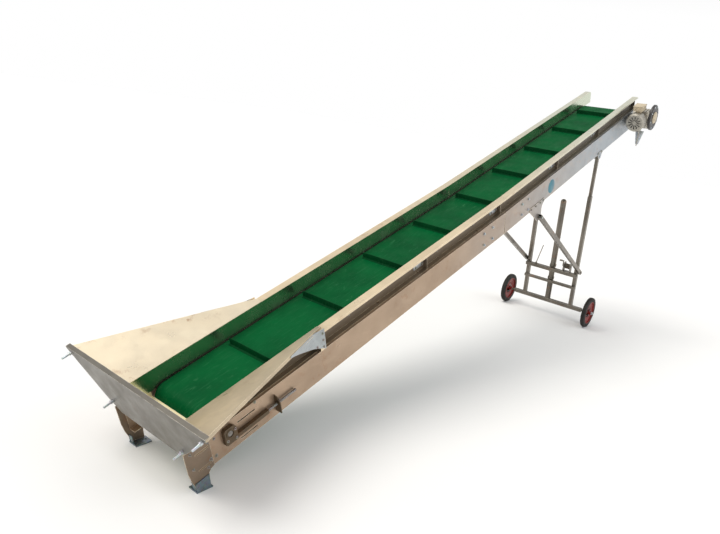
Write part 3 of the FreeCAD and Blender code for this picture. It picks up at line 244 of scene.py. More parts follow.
def sheet_steel(name, colour, shade, rough=0.34, metal=0.75, head=None, stain=0.15, speck=0.3, recess_shade=None,
                edge=srgb(250, 236, 208), inner=None, bloom=0.30):
    """Mill-finish sheet: clouded tone, fine rolling lines, brown handling stains, scratches and bright edges.

    head is the tone towards the conveyor's head, a painted reflection of cooler surroundings; recess_shade is
    painted shade that darkens the guards' outer channels; and inner is the tone of the walls beside the belt,
    whose green tint is a painted reflection of the belt. The bright edges are part wear and part painted
    highlight.
    """
    s = Shader(name)
    tone = s.mix(s.ramp(s.noise(2.2, 6, rough=0.6), 0.36, 0.66), colour, shade)
    # Painted reflection: the tone turns cooler towards the conveyor's head.
    if head:
        along = s.ramp(s.math("ADD", s.axis("X"), s.noise(0.9, 2)), 2.6, 5.4)
        tone = s.mix(along, tone, head)
    lines = s.noise(14, 6, s.mapped((1.2, 40, 40), SLOPE), 0.7)
    tone = s.mix(s.ramp(lines, 0.35, 0.7, 0.0, 0.16), tone, scaled(shade, 0.72))
    patch = s.ramp(s.noise(2.1, 3), 0.46, 0.60)
    blot = s.ramp(s.noise(17, 7, rough=0.68), 0.54, 0.68)
    tone = s.mix(s.math("MULTIPLY", s.both(patch, blot), stain), tone, BROWN)
    haze = s.ramp(s.noise(5.5, 5, s.mapped((1, 1, 2.5), SLOPE)), 0.54, 0.74, 0.0, bloom)
    tone = s.mix(haze, tone, scaled(colour, 1.22))
    dots = s.ramp(s.noise(75, 3, rough=0.7), 0.66, 0.72, 0.0, speck)
    tone = s.mix(dots, tone, scaled(shade, 0.45))
    scratch = s.ramp(s.noise(22, 2, s.mapped((0.7, 22, 60), SLOPE + 0.25)), 0.735, 0.76, 0.0, 0.45)
    tone = s.mix(scratch, tone, scaled(colour, 1.3))
    roughness = s.ramp(s.noise(9, 6), 0.3, 0.7, rough - 0.07, rough + 0.14)
    metalness = metal
    # Painted shade: the guards' outer channels, under their top flanges, take a dark colour.
    if recess_shade:
        above = s.above_belt()
        across = s.across()
        shaded_hollow = s.both(s.below(above, GUARD_TOP - 0.0034), s.beyond(across, TROUGH_HALF + 0.0012),
                        s.below(across, PANEL_FACE - 0.0028))
        depth = s.ramp(above, -0.02, 0.10, 0.78, 1.0)
        tone = s.mix(s.math("MULTIPLY", shaded_hollow, depth), tone, recess_shade)
    # The walls beside the belt are glossier and more metallic, and their green tint is a painted reflection of the
    # belt.
    if inner:
        wall = s.both(s.below(s.across(), TROUGH_HALF + 0.0012),
                      s.below(s.above_belt(), GUARD_TOP - 0.0008, 0.0012))
        tone = s.mix(wall, tone, inner)
        metalness = s.ramp(wall, 0.0, 1.0, metal, 0.97)
        roughness = s.math("SUBTRACT", roughness, s.math("MULTIPLY", wall, 0.14))
    # Bright edges: partly rubbed wear, partly a painted highlight where the edges catch the light.
    edge_wear_and_highlight = s.math("MULTIPLY", s.edges(0.0038), s.ramp(s.noise(20, 4), 0.30, 0.55))
    tone = s.mix(edge_wear_and_highlight, tone, edge)
    s.put(s.main.inputs["Base Color"], tone)
    s.put(s.main.inputs["Metallic"], metalness)
    s.put(s.main.inputs["Roughness"], roughness)
    s.bump(s.math("ADD", s.math("MULTIPLY", lines, 0.06), s.noise(4.5, 2)), 0.30, 0.0016)
    return s.material


def painted(name, colour, shade, rough=0.42, dirt=(0.30, 0.25, 0.19), dirt_amount=0.35, metal=0.0, spread=1.0,
            edge=(0.62, 0.58, 0.52)):
    """Satin finish on small parts: mottled tone, dust in clouds, specks and rubbed edges."""
    s = Shader(name)
    tone = s.mix(s.ramp(s.noise(1.6 * spread, 5), 0.35, 0.7), colour, shade)
    dust = s.ramp(s.noise(7 * spread, 8, rough=0.7), 0.52, 0.75, 0.0, dirt_amount)
    tone = s.mix(dust, tone, dirt)
    tone = s.mix(s.ramp(s.noise(130, 2), 0.70, 0.76, 0.0, 0.5), tone, dirt)
    edge_wear_and_highlight = s.math("MULTIPLY", s.edges(0.003), s.ramp(s.noise(24, 4), 0.42, 0.62))
    tone = s.mix(edge_wear_and_highlight, tone, edge)
    s.put(s.main.inputs["Base Color"], tone)
    s.put(s.main.inputs["Roughness"], s.ramp(s.noise(14, 6), 0.3, 0.7, rough - 0.08, rough + 0.18))
    s.main.inputs["Metallic"].default_value = metal
    s.bump(s.math("ADD", s.math("MULTIPLY", s.noise(420, 2), 0.05), s.noise(9 * spread, 2)), 0.3, 0.0012)
    return s.material


def zinc(name, colour=srgb(196, 202, 206), rough=0.30):
    """Zinc plate: crystalline flakes and a little white bloom."""
    s = Shader(name)
    flakes = s.new("TexVoronoi", Vector=s.place, Scale=95.0).outputs["Color"]
    tone = s.mix(0.20, colour, flakes, "SOFT_LIGHT")
    tone = s.mix(s.ramp(s.noise(18, 6), 0.5, 0.75, 0.0, 0.5), tone, srgb(150, 152, 148))
    tone = s.mix(s.ramp(s.noise(45, 4), 0.62, 0.72, 0.0, 0.5), tone, srgb(92, 74, 56))
    s.put(s.main.inputs["Base Color"], tone)
    s.put(s.main.inputs["Roughness"], s.ramp(s.noise(40, 5), 0.3, 0.7, rough, rough + 0.2))
    s.main.inputs["Metallic"].default_value = 0.9
    s.bump(s.noise(300, 3), 0.15, 0.0006)
    return s.material


def bare_steel(name, colour=srgb(150, 146, 140), stretch=(1, 1, 60), rough=0.3):
    """Turned or drawn steel with fine lines and a brown film."""
    s = Shader(name)
    lines = s.noise(60, 3, s.mapped(stretch))
    tone = s.mix(s.ramp(lines, 0.35, 0.65), colour, scaled(colour, 0.7))
    tone = s.mix(s.ramp(s.noise(12, 6), 0.5, 0.72, 0.0, 0.45), tone, srgb(112, 84, 58))
    s.put(s.main.inputs["Base Color"], tone)
    s.put(s.main.inputs["Roughness"], s.ramp(lines, 0.3, 0.7, rough, rough + 0.25))
    s.main.inputs["Metallic"].default_value = 0.9
    s.bump(lines, 0.1, 0.0004)
    return s.material


def belting(name, colour, shade, dust, rough=0.42):
    """PVC belt cover: long faint scrape streaks, powdery patches and a fine pressed weave."""
    s = Shader(name)
    tone = s.mix(s.ramp(s.noise(3.2, 5), 0.36, 0.66), colour, shade)
    streak = s.ramp(s.noise(7, 6, s.mapped((0.5, 16, 3), SLOPE), 0.6), 0.56, 0.76, 0.0, 0.30)
    tone = s.mix(streak, tone, dust)
    scrape = s.ramp(s.noise(10, 5, s.mapped((0.8, 3, 3), SLOPE), 0.7), 0.58, 0.76)
    patch = s.both(s.ramp(s.noise(2.3, 3), 0.46, 0.62), scrape)
    tone = s.mix(s.math("MULTIPLY", patch, 0.65), tone, dust)
    tone = s.mix(s.ramp(s.noise(210, 2), 0.68, 0.74, 0.0, 0.35), tone, dust)
    s.put(s.main.inputs["Base Color"], tone)
    s.put(s.main.inputs["Roughness"], s.ramp(s.noise(11, 6), 0.3, 0.7, rough - 0.06, rough + 0.16))
    s.main.inputs["Specular IOR Level"].default_value = 0.05
    weave = s.new("TexChecker", Vector=s.mapped((1, 1, 1), SLOPE), Scale=520.0).outputs["Fac"]
    s.bump(s.math("ADD", s.math("MULTIPLY", weave, 0.05), s.noise(6, 3)), 0.30, 0.0015)
    return s.material


LOOKS = {
    # sheet metal
    "wing": sheet_steel("wing_sheet", srgb(238, 224, 198), srgb(226, 211, 184), stain=0.9, metal=0.5,
                        speck=0.2),
    # The near wing is a darker copy of the far wing's sheet: painted shade.
    "wing_near": sheet_steel("near_wing_shaded_sheet", srgb(208, 190, 160), srgb(180, 165, 142), stain=0.35,
                             metal=0.7),
    "tray": sheet_steel("tray_sheet", srgb(246, 232, 188), srgb(234, 218, 172), stain=0.2, metal=0.15),
    # Guard: the dark channel colour is painted shade; the head tone and the green tint of the walls beside the
    # belt are painted reflections.
    "guard": sheet_steel("guard_sheet", srgb(236, 217, 184), srgb(218, 198, 166), stain=0.3, metal=0.6,
                         head=srgb(214, 216, 200), speck=0.1, recess_shade=srgb(92, 80, 70),
                         inner=srgb(206, 212, 190)),
    # The panels' sheet is darker than the guards' as painted shade, and its cooler head tone is a painted
    # reflection.
    "panel": sheet_steel("panel_shaded_sheet", srgb(182, 158, 134), srgb(164, 141, 119), head=srgb(166, 174, 180),
                         stain=0.45, metal=0.65, speck=0.35),
    # The end plates are darker still: painted shade from the hopper's front.
    "end_plate": sheet_steel("end_plate_shaded_sheet", srgb(146, 128, 109), srgb(122, 106, 90), stain=0.5,
                             metal=0.65, speck=0.5),
    # The front plate's dark tone is painted shade.
    "front": sheet_steel("front_shaded_sheet", srgb(118, 114, 106), srgb(108, 104, 97), stain=0.25, metal=0.65,
                         speck=0.75, edge=srgb(205, 200, 190), bloom=0.10),
    # The slider bed is dark as painted shade, so the narrow gap beside the belt reads dark.
    "bed": sheet_steel("slider_bed_shade_sheet", srgb(76, 84, 74), srgb(58, 66, 57), stain=0.3, metal=0.6,
                       edge=srgb(120, 112, 100)),
    "tube": sheet_steel("tube_steel", srgb(134, 127, 118), srgb(98, 92, 84), rough=0.27, metal=0.8, stain=0.6,
                        edge=srgb(190, 184, 172)),
    # The skirt's blue-grey tone is a painted reflection.
    "skirt": sheet_steel("skirt_reflection_sheet", srgb(192, 198, 200), srgb(150, 156, 158), rough=0.28, metal=0.85,
                         stain=0.2, edge=srgb(235, 235, 230)),
    # plated, turned and drawn steel
    "zinc": zinc("zinc_plate"),
    "bolt": zinc("bolt_zinc", srgb(158, 154, 146), 0.34),
    "foot": zinc("foot_zinc", srgb(122, 134, 142), 0.32),
    "steel": bare_steel("turned_steel"),
    "carriage": bare_steel("carriage_steel", srgb(112, 98, 80), (1, 1, 8), 0.38),
    "cable": bare_steel("cable_strands", srgb(120, 112, 100), (90, 90, 1), 0.4),
    # painted, cast and moulded parts
    "dark": painted("black_paint", srgb(46, 44, 44), srgb(34, 33, 34), rough=0.35, dirt=srgb(110, 100, 88),
                    edge=srgb(140, 138, 134)),
    "motor": painted("motor_casting", srgb(196, 192, 182), srgb(168, 163, 152), rough=0.34, metal=0.55,
                     spread=SMALL, dirt=srgb(96, 84, 70)),
    "box": painted("box_moulding", srgb(206, 192, 164), srgb(186, 172, 146), rough=0.4, spread=6,
                   dirt=srgb(120, 100, 76)),
    "nylon": painted("roller_nylon", srgb(220, 218, 208), srgb(200, 198, 188), rough=0.4, spread=6),
    "tyre": painted("tyre_rubber", srgb(34, 32, 31), srgb(44, 41, 38), rough=0.75, dirt=srgb(104, 92, 78),
                    edge=srgb(58, 56, 54), spread=SMALL),
    "rim": painted("rim_paint", srgb(136, 30, 24), srgb(112, 24, 20), rough=0.38, dirt=srgb(100, 60, 48),
                   edge=srgb(150, 110, 96), spread=SMALL),
    "marker": painted("marker_film", srgb(38, 124, 142), srgb(30, 104, 124), rough=0.3,
                      dirt=srgb(120, 130, 126), edge=srgb(110, 160, 170), spread=SMALL),
    # belt cover
    "belt": belting("belt_cover", srgb(0, 88, 44), srgb(0, 74, 37), srgb(70, 134, 92)),
    "cleat": belting("cleat_cover", srgb(0, 62, 29), srgb(0, 50, 24), srgb(50, 104, 64), 0.48),
}
# The other nodes take the look that has their material slot's name.
NODE_LOOK = {
    "end_plate_near": "end_plate",
    "end_plate_far": "end_plate",
    "hopper_wing_near": "wing_near",
    "hopper_wing_far": "wing",
    "belt_cleats": "cleat",
    "infeed_tray": "tray",
    "slider_bed": "bed",
    "takeup_carriages": "carriage",
    "takeup_brackets": "carriage",
    "foot_plates": "foot",
    "lock_lever": "tube",
    "winch_frame": "tube",
    "winch_crank": "tube",
}

for entry in frame["record"]["subparts"]:
    surface = nodes[entry["node"]].data.materials
    surface.clear()
    surface.append(LOOKS[NODE_LOOK.get(entry["node"], entry["material_slot"])])


# ---------------------------------------------------------------- mesh building
def circle(part, radius, height, count):
    """Corners spaced evenly round the z axis."""
    turns = [2 * math.pi * k / count for k in range(count)]
    return [part.verts.new((radius * math.cos(turn), radius * math.sin(turn), height)) for turn in turns]


def skin(part, rings):
    """Joins rings of as many corners each to the next, and closes the first and the last."""
    for first, second in zip(rings, rings[1:]):
        for k in range(len(first)):
            n = (k + 1) % len(first)
            part.faces.new((first[k], first[n], second[n], second[k]))
    part.faces.new(rings[0][::-1])
    part.faces.new(rings[-1])
    bmesh.ops.recalc_face_normals(part, faces=part.faces[:])


class Piece:
    """Gathers shapes into one mesh, which becomes an object that rides on a body."""

    def __init__(self, name, look, slot, body="conveyor"):
        self.name = name
        self.look = look
        self.slot = slot
        self.body = body
        self.bm = bmesh.new()

    def take(self, part, place):
        """Moves a shape to its place and adds it to the piece."""
        part.transform(place)
        mesh = bpy.data.meshes.new("part")
        part.to_mesh(mesh)
        part.free()
        self.bm.from_mesh(mesh)
        bpy.data.meshes.remove(mesh)

    def block(self, place, size, bevel=0.0006, segments=2):
        """A box about the frame's origin, with rounded edges."""
        part = bmesh.new()
        bmesh.ops.create_cube(part, size=1.0)
        bmesh.ops.scale(part, vec=size, verts=part.verts)
        bmesh.ops.bevel(part, geom=part.edges[:], offset=bevel, segments=segments, affect="EDGES",
                        profile=0.5)
        self.take(part, place)

    def slab(self, place, outline, thickness, bevel=0.0006):
        """A plate with an outline in x and y, from z = 0 up to its thickness, and rounded rims."""
        part = bmesh.new()
        skin(part, [[part.verts.new((x, y, z)) for x, y in outline] for z in (0, thickness)])
        rims = [edge for edge in part.edges if edge.verts[0].co.z == edge.verts[1].co.z]
        bmesh.ops.bevel(part, geom=rims, offset=bevel, segments=2, affect="EDGES", profile=0.5)
        self.take(part, place)

    def lathe(self, place, profile, segments=48):
        """A profile of (height, radius) turned about z. It is closed, or its ends are filled in."""
        part = bmesh.new()
        rings = []
        for height, radius in profile:
            rings.append(circle(part, radius, height, segments if radius else 1))
        for first, second in zip(rings, rings[1:]):
            for k in range(segments):
                n = (k + 1) % segments
                corners = [first[k % len(first)], first[n % len(first)],
                           second[n % len(second)], second[k % len(second)]]
                unique = list(dict.fromkeys(corners))
                if len(unique) > 2:
                    part.faces.new(unique)
        for ring in (rings[0], rings[-1]):
            if len(ring) > 1 and profile[0] != profile[-1]:
                part.faces.new(ring)
        bmesh.ops.remove_doubles(part, verts=part.verts[:], dist=1e-7)
        bmesh.ops.recalc_face_normals(part, faces=part.faces[:])
        self.take(part, place)

    def nut(self, place, across, height, washer=True):
        """Hexagon with turned chamfers, on a washer, standing on z = 0."""
        base = height * 0.22 if washer else 0.0
        if washer:
            rim = across * 0.95
            self.lathe(place, [(0, rim), (base * 0.8, rim), (base, across * 0.90), (base, 0)], 28)
        corner = across / math.sqrt(3)
        chamfers = ((0, 0.93), (0.12, 1.0), (0.88, 1.0), (1.0, 0.90))
        part = bmesh.new()
        skin(part, [circle(part, corner * share, base + height * rise, 6) for rise, share in chamfers])
        self.take(part, place)

    def thread(self, place, radius, length, pitch=0.002):
        """Screw thread as close ridges."""
        root = radius * 0.80
        profile = [(0, 0), (0, root)]
        for k in range(int(length / pitch)):
            profile.append(((k + 0.25) * pitch, radius * 0.90))
            profile.append(((k + 0.75) * pitch, radius))
        self.lathe(place, profile + [(length, root), (length, 0)], 20)

    def bead(self, points, radius=0.0022):
        """A weld bead of overlapping ripples along a line of points."""
        for first, second in zip(points, points[1:]):
            count = max(2, int((second - first).length / (radius * 1.1)))
            for k in range(count):
                ripple = bmesh.new()
                bmesh.ops.create_icosphere(ripple, subdivisions=1, radius=radius * RANDOM.uniform(0.9, 1.1))
                self.take(ripple, Matrix.Translation(first.lerp(second, (k + 0.5) / count)))

    def done(self, smooth=35):
        """Makes the object, shaded smooth up to an angle in degrees."""
        mesh = bpy.data.meshes.new(self.name)
        self.bm.to_mesh(mesh)
        self.bm.free()
        mesh.materials.append(LOOKS[self.look])
        mesh.shade_smooth()
        mesh.set_sharp_from_angle(angle=math.radians(smooth))
        piece = bpy.data.objects.new(self.name, mesh)
        bpy.context.scene.collection.objects.link(piece)
        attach(piece, self.body)
        return piece


def loose_parts(node):
    """The separate solids of a node, each as a list of its corner points."""
    mesh = nodes[node].data
    parent = list(range(len(mesh.vertices)))

    def root(k):
        while parent[k] != k:
            parent[k] = parent[parent[k]]
            k = parent[k]
        return k

    keys = {}
    for vertex in mesh.vertices:
        key = tuple(round(c, 5) for c in vertex.co)
        if key in keys:
            parent[root(vertex.index)] = root(keys[key])
        keys.setdefault(key, vertex.index)
    for edge in mesh.edges:
        parent[root(edge.vertices[0])] = root(edge.vertices[1])
    groups = {}
    for vertex in mesh.vertices:
        groups.setdefault(root(vertex.index), []).append(vertex.co.copy())
    return list(groups.values())


def middle_of(points):
    return sum(points, Vector()) / len(points)


# ---------------------------------------------------------------- cleats: moulded T sections on the belt
CLEAT_HALF = 0.200
CLEAT_HEIGHT = 0.043
CLEAT_END = 0.002           # length of the rounding at each end


def cleat_section():
    """Outline of the T: a feathered foot, a fillet, and a thin wall with a round crest."""
    half = [(-0.019, 0.0), (-0.0185, 0.0016), (-0.011, 0.0026), (-0.0052, 0.0042), (-0.0036, 0.0085),
            (-0.0031, CLEAT_HEIGHT - 0.003), (-0.0018, CLEAT_HEIGHT - 0.0006)]
    return half + [(0.0, CLEAT_HEIGHT)] + [(-x, z) for x, z in reversed(half)]


def cleat_frame(corners):
    """A frame at a cleat's foot, with z along its height, found from the corners of its CAD solid."""
    tail_axis = Vector(joints["tail_drum_spin"]["pos_m"])
    run = Vector(joints["head_drum_spin"]["pos_m"]) - tail_axis
    middle = middle_of(corners)
    share = min(1.0, max(0.0, (middle - tail_axis).dot(run) / run.length_squared))
    outward = middle - (tail_axis + run * share)
    outward.y = 0
    outward.normalize()
    flat = [Vector((c.x, 0, c.z)) for c in corners]
    heights = [c.dot(outward) for c in flat]
    foot = middle_of([c for c, height in zip(flat, heights) if height < min(heights) + 0.004])
    crest = middle_of([c for c, height in zip(flat, heights) if height > max(heights) - 0.004])
    up = (crest - foot).normalized()
    return Matrix((
        (up.z, 0, up.x, foot.x),
        (0, 1, 0, 0),
        (-up.x, 0, up.z, foot.z),
        (0, 0, 0, 1)))


def cleats():
    """Cleats with a slight wave along their length, in the place of the plain ones."""
    piece = Piece("moulded_cleats", "cleat", "belt")
    outline = cleat_section()
    steps = [CLEAT_HALF * (k / 5 - 1) for k in range(1, 10)]
    stations = [-CLEAT_HALF, CLEAT_END - CLEAT_HALF] + steps + [CLEAT_HALF - CLEAT_END, CLEAT_HALF]
    for corners in loose_parts("belt_cleats"):
        part = bmesh.new()
        rings = []
        for y in stations:
            inset, drop = (0.93, 0.985) if abs(y) == CLEAT_HALF else (1.0, 1.0)
            bow = 0.0012 * math.sin(17 * y)
            rings.append([part.verts.new((x * inset + bow * z / CLEAT_HEIGHT, y, z * drop))
                          for x, z in outline])
        skin(part, rings)
        piece.take(part, cleat_frame(corners))
    made = piece.done(50)
    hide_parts("belt_cleats")


# ---------------------------------------------------------------- wheels
TYRE_HALF = 0.0228
TYRE_OUTER = 0.176
TYRE_INNER = 0.1302
GROOVE_DEPTH = 0.003


def tyre(label):
    """Solid rubber tyre: three grooves round the tread, and a fine ring and small lugs on each wall."""
    piece = Piece(f"moulded_tyre_{label}", "tyre", "tyre", f"wheel_{label}")
    wall = [(-TYRE_HALF + 0.003, TYRE_INNER), (-TYRE_HALF, TYRE_INNER + 0.004), (-TYRE_HALF, 0.145),
            (-TYRE_HALF - 0.0004, 0.147), (-TYRE_HALF, 0.149), (-TYRE_HALF, 0.160),
            (-TYRE_HALF + 0.001, 0.167), (-TYRE_HALF + 0.004, 0.172), (-TYRE_HALF + 0.008, 0.1745)]
    tread = []
    for groove in (-0.010, 0.0, 0.010):
        for step, depth in ((-0.0018, 0), (-0.0010, GROOVE_DEPTH), (0.0010, GROOVE_DEPTH), (0.0018, 0)):
            tread.append((groove + step, TYRE_OUTER - depth))
    profile = wall + tread + [(-x, r) for x, r in reversed(wall)]
    hub = axle(f"wheel_{label}_spin")
    piece.lathe(hub, profile + [profile[0]], 96)
    for spot in on_circle(hub, 36, 0.1715):
        for end in (-1, 1):
            piece.block(at(spot, z=end * 0.0185), (0.0042, 0.010, 0.005), 0.001, 1)
    made = piece.done(40)
    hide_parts(f"tyre_{label}")


def wheel_trim(label):
    """Hub bolts and two pressed rings on both faces of a wheel's disc."""
    bolts = Piece(f"hub_bolts_{label}", "zinc", "zinc", f"wheel_{label}")
    ring = Piece(f"pressed_ring_{label}", "rim", "rim", f"wheel_{label}")
    for turn in (180, 0):
        face = at(axle(f"wheel_{label}_spin"), turn=(turn, "X"))
        for spot in on_circle(face, 5, 0.045, 0.003, 0.3):
            bolts.nut(spot, 0.0065, 0.006)
        ring.lathe(face, [(0.0025, 0.058), (0.0052, 0.061), (0.0052, 0.064), (0.0025, 0.068)], 64)
        ring.lathe(face, [(0.003, 0.108), (0.0062, 0.110), (0.0062, 0.113), (0.003, 0.116)], 64)
    bolts.done()
    ring.done(60)


# ---------------------------------------------------------------- drive
GEARBOX_COVER = at(HEAD, HEAD_DRUM_AT + 0.040, -0.564, 0.032 - BELT_DROP, (90, "X"))
TERMINAL_LID = at(HEAD, HEAD_DRUM_AT - 0.084, -0.432, 0.114)
FIN_COUNT = 40


def on_motor(degrees, along, out):
    """A frame on the motor's round wall, with z pointing outward."""
    return at(at(MOTOR, turn=(degrees, "X")), along, 0, out)


def motor_trim():
    """Cooling fins on the motor."""
    fins = Piece("motor_fins", "motor", "motor")
    for k in range(FIN_COUNT):
        fins.block(on_motor(360 * k / FIN_COUNT, 0.034, 0.0945), (0.046, 0.0022, 0.0060), 0.0006, 1)
    fins.done()


def drive_screws():
    """Screws of the fan cowl, the terminal box's lid and the gearbox cover, and the gearbox's oil plug."""
    screws = Piece("drive_screws", "zinc", "zinc")
    for k in range(4):
        screws.nut(on_motor(45 + 90 * k, 0.075, 0.0985), 0.007, 0.003, False)
    for x, y in four_corners(0.055, 0.046):
        screws.nut(at(TERMINAL_LID, x, y), 0.007, 0.0035, False)
    for spot in on_circle(GEARBOX_COVER, 8, 0.118, start=math.radians(10)):
        screws.nut(spot, 0.010, 0.006)
    screws.nut(at(HEAD, HEAD_DRUM_AT - 0.010, -0.442, 0.107 - BELT_DROP), 0.016, 0.010)
    screws.done()


def gearbox_trim():
    """Raised cap in the middle of the gearbox cover, and ribs on the gearbox's top and front."""
    cap = Piece("gearbox_cap", "box", "box")
    cap.lathe(at(GEARBOX_COVER, z=0.0005), [(0.0, 0.064), (0.004, 0.066), (0.0135, 0.0575), (0.0155, 0.050),
                                            (0.0155, 0.036), (0.0175, 0.034), (0.0175, 0.0)], 56)
    cap.done()
    ribs = Piece("gearbox_ribs", "motor", "motor")
    for k in range(6):
        y = -0.372 - 0.028 * k
        ribs.block(at(HEAD, HEAD_DRUM_AT + 0.030, y, 0.1105 - BELT_DROP), (0.110, 0.004, 0.009), 0.001, 1)
        ribs.block(at(HEAD, HEAD_DRUM_AT + 0.1185, y, 0.032 - BELT_DROP), (0.009, 0.004, 0.090), 0.001, 1)
    ribs.done()


def torque_arm_trim():
    """A web that stiffens the torque arm."""
    plumb = basis(ALONG_FLOOR, Vector(joints["head_drum_spin"]["pos_m"]))
    web = Piece("torque_arm_web", "zinc", "zinc")
    web.slab(at(plumb, 0.030, -0.446, -0.118, (90, "Y")),
             [(0, -0.046), (0.150, -0.016), (0.150, 0.016), (0, 0.046)], 0.005)
    web.done()


def head_bearing_trim(label, side):
    """Four bolts on a head bearing's flange."""
    bolts = Piece(f"bearing_bolts_{label}", "zinc", "zinc")
    face = side * (PANEL_FACE + 0.012)
    for x, z in four_corners(0.036, 0.036):
        bolts.nut(facing(HEAD, HEAD_DRUM_AT + x, face, z - BELT_DROP, side), 0.012, 0.008)
    bolts.done()


# ---------------------------------------------------------------- fasteners and plates along the trough
JOINT_PLATES = ((TAIL, 2.122), (TAIL, 3.211), (HEAD, 1.003), (HEAD, 2.003))
WEB_BOLTS = ((TAIL, 1.344, 0.041), (TAIL, 2.365, 0.041), (TAIL, 2.888, 0.040), (HEAD, 1.35, 0.041),
             (HEAD, 2.45, 0.041))
WING_BOLTS = ((1.040, 0.004), (1.040, 0.052), (1.040, 0.100), (0.985, 0.030))
END_PLATE_BOLTS = ((0.020, -0.045, 0.009), (0.020, -0.150, 0.009), (0.128, -0.045, 0.009),
                   (0.128, -0.165, 0.012), (0.104, -0.205, 0.010))
TAIL_PANEL_BOLTS = ((0.168, -0.174, 0.012), (0.176, -0.060, 0.010), (0.470, -0.024, 0.010))
SPLICE_BOLTS = ((TAIL, 2.976), (TAIL, 3.116), (HEAD, 0.310), (HEAD, 0.430))


def recess_trim(label, side):
    """Plates and bolts on the guards' walls, inside their channels, and the bolts of the wings' ends."""
    plates = Piece(f"recess_plates_{label}", "zinc", "zinc")
    bolts = Piece(f"recess_bolts_{label}", "bolt", "zinc")
    for place, x in JOINT_PLATES:
        plates.block(at(place, x, side * (GUARD_WEB + 0.0018), 0.048), (0.120, 0.003, 0.072), 0.0008)
        for dx, dz in four_corners(0.038, 0.020):
            bolts.nut(facing(place, x + dx, side * (GUARD_WEB + 0.0033), 0.048 + dz, side), 0.012, 0.007)
    for place, x, z in WEB_BOLTS:
        bolts.nut(facing(place, x, side * GUARD_WEB, z, side), 0.010, 0.006)
    for x, z in WING_BOLTS:
        bolts.nut(facing(TAIL, x, side * (PANEL_FACE + 0.0060), z, side), 0.009, 0.005)
    plates.done()
    bolts.done()


def end_plate_trim(label, side):
    """Bolts of the end plates, with thread ends, and of the panels beside them."""
    bolts = Piece(f"end_plate_bolts_{label}", "bolt", "zinc")
    face = PANEL_FACE + 0.004
    for x, z, size in END_PLATE_BOLTS:
        height = size * 0.6
        bolts.nut(facing(TAIL, x, side * face, z, side), size, height)
        bolts.thread(facing(TAIL, x, side * (face + height), z, side), size * 0.33, 0.008, 0.0016)
    for x, z, size in TAIL_PANEL_BOLTS:
        bolts.nut(facing(TAIL, x, side * PANEL_FACE, z, side), size, size * 0.6)
    bolts.done()


def splice_trim(label, side):
    """Thread ends on the splice bolts."""
    threads = Piece(f"splice_threads_{label}", "zinc", "zinc")
    for place, x in SPLICE_BOLTS:
        for z in (-0.068, -0.170):
            threads.thread(facing(place, x, side * (PANEL_FACE + 0.008), z, side), 0.005, 0.007, 0.0015)
    threads.done()


# ---------------------------------------------------------------- hopper
WING_FLARE = math.radians(25.3)
WING_END = 1.060            # the wing's upper end along the tail section, where it is narrowest
WING_LENGTH = 1.075
WING_NARROW = 0.036
WING_WIDEN = 0.364
SKIRT_START = 0.70
SKIRT_LENGTH = 0.358
SKIRT_GAUGE = 0.0025


def hopper_trim():
    """Threads and a nut on each stud."""
    threads = Piece("stud_threads", "zinc", "zinc")
    for corners in loose_parts("hopper_studs"):
        lowest = min(corners, key=lambda c: c.dot(HEAD_X))
        tip = middle_of([c for c in corners if (c - lowest).length < 0.014])
        root = middle_of(sorted(corners, key=lambda c: -c.dot(HEAD_X))[:12])
        axis = (tip - root).normalized()
        turn = axis.to_track_quat("Z", "Y").to_matrix().to_4x4()
        threads.thread(Matrix.Translation(tip - axis * 0.044) @ turn, 0.0066, 0.0435, 0.0018)
        threads.nut(Matrix.Translation(tip - axis * 0.034) @ turn, 0.0115, 0.008, False)
    threads.done()


def wing_skirt(label, side):
    """A tapering sheet that hangs from a wing's outer edge down to the side panel."""
    piece = Piece(f"wing_skirt_{label}", "skirt", "guard")
    part = bmesh.new()
    rows = []
    for k in range(15):
        share = k / 14
        x = SKIRT_START + SKIRT_LENGTH * share
        out = WING_NARROW + WING_WIDEN * (WING_END - x) / WING_LENGTH
        y = max(TROUGH_HALF + out * math.cos(WING_FLARE) + 0.0015, PANEL_FACE + 0.0034)
        top = GUARD_TOP + out * math.sin(WING_FLARE) - 0.001
        low = top - 0.010 - 0.138 * share ** 1.15
        outline = ((y, top), (y, low), (y + SKIRT_GAUGE, low), (y + SKIRT_GAUGE, top))
        rows.append([part.verts.new((x, side * across, z)) for across, z in outline])
    skin(part, rows)
    bmesh.ops.bevel(part, geom=part.edges[:], offset=0.0005, segments=1, affect="EDGES")
    piece.take(part, TAIL)
    piece.done()


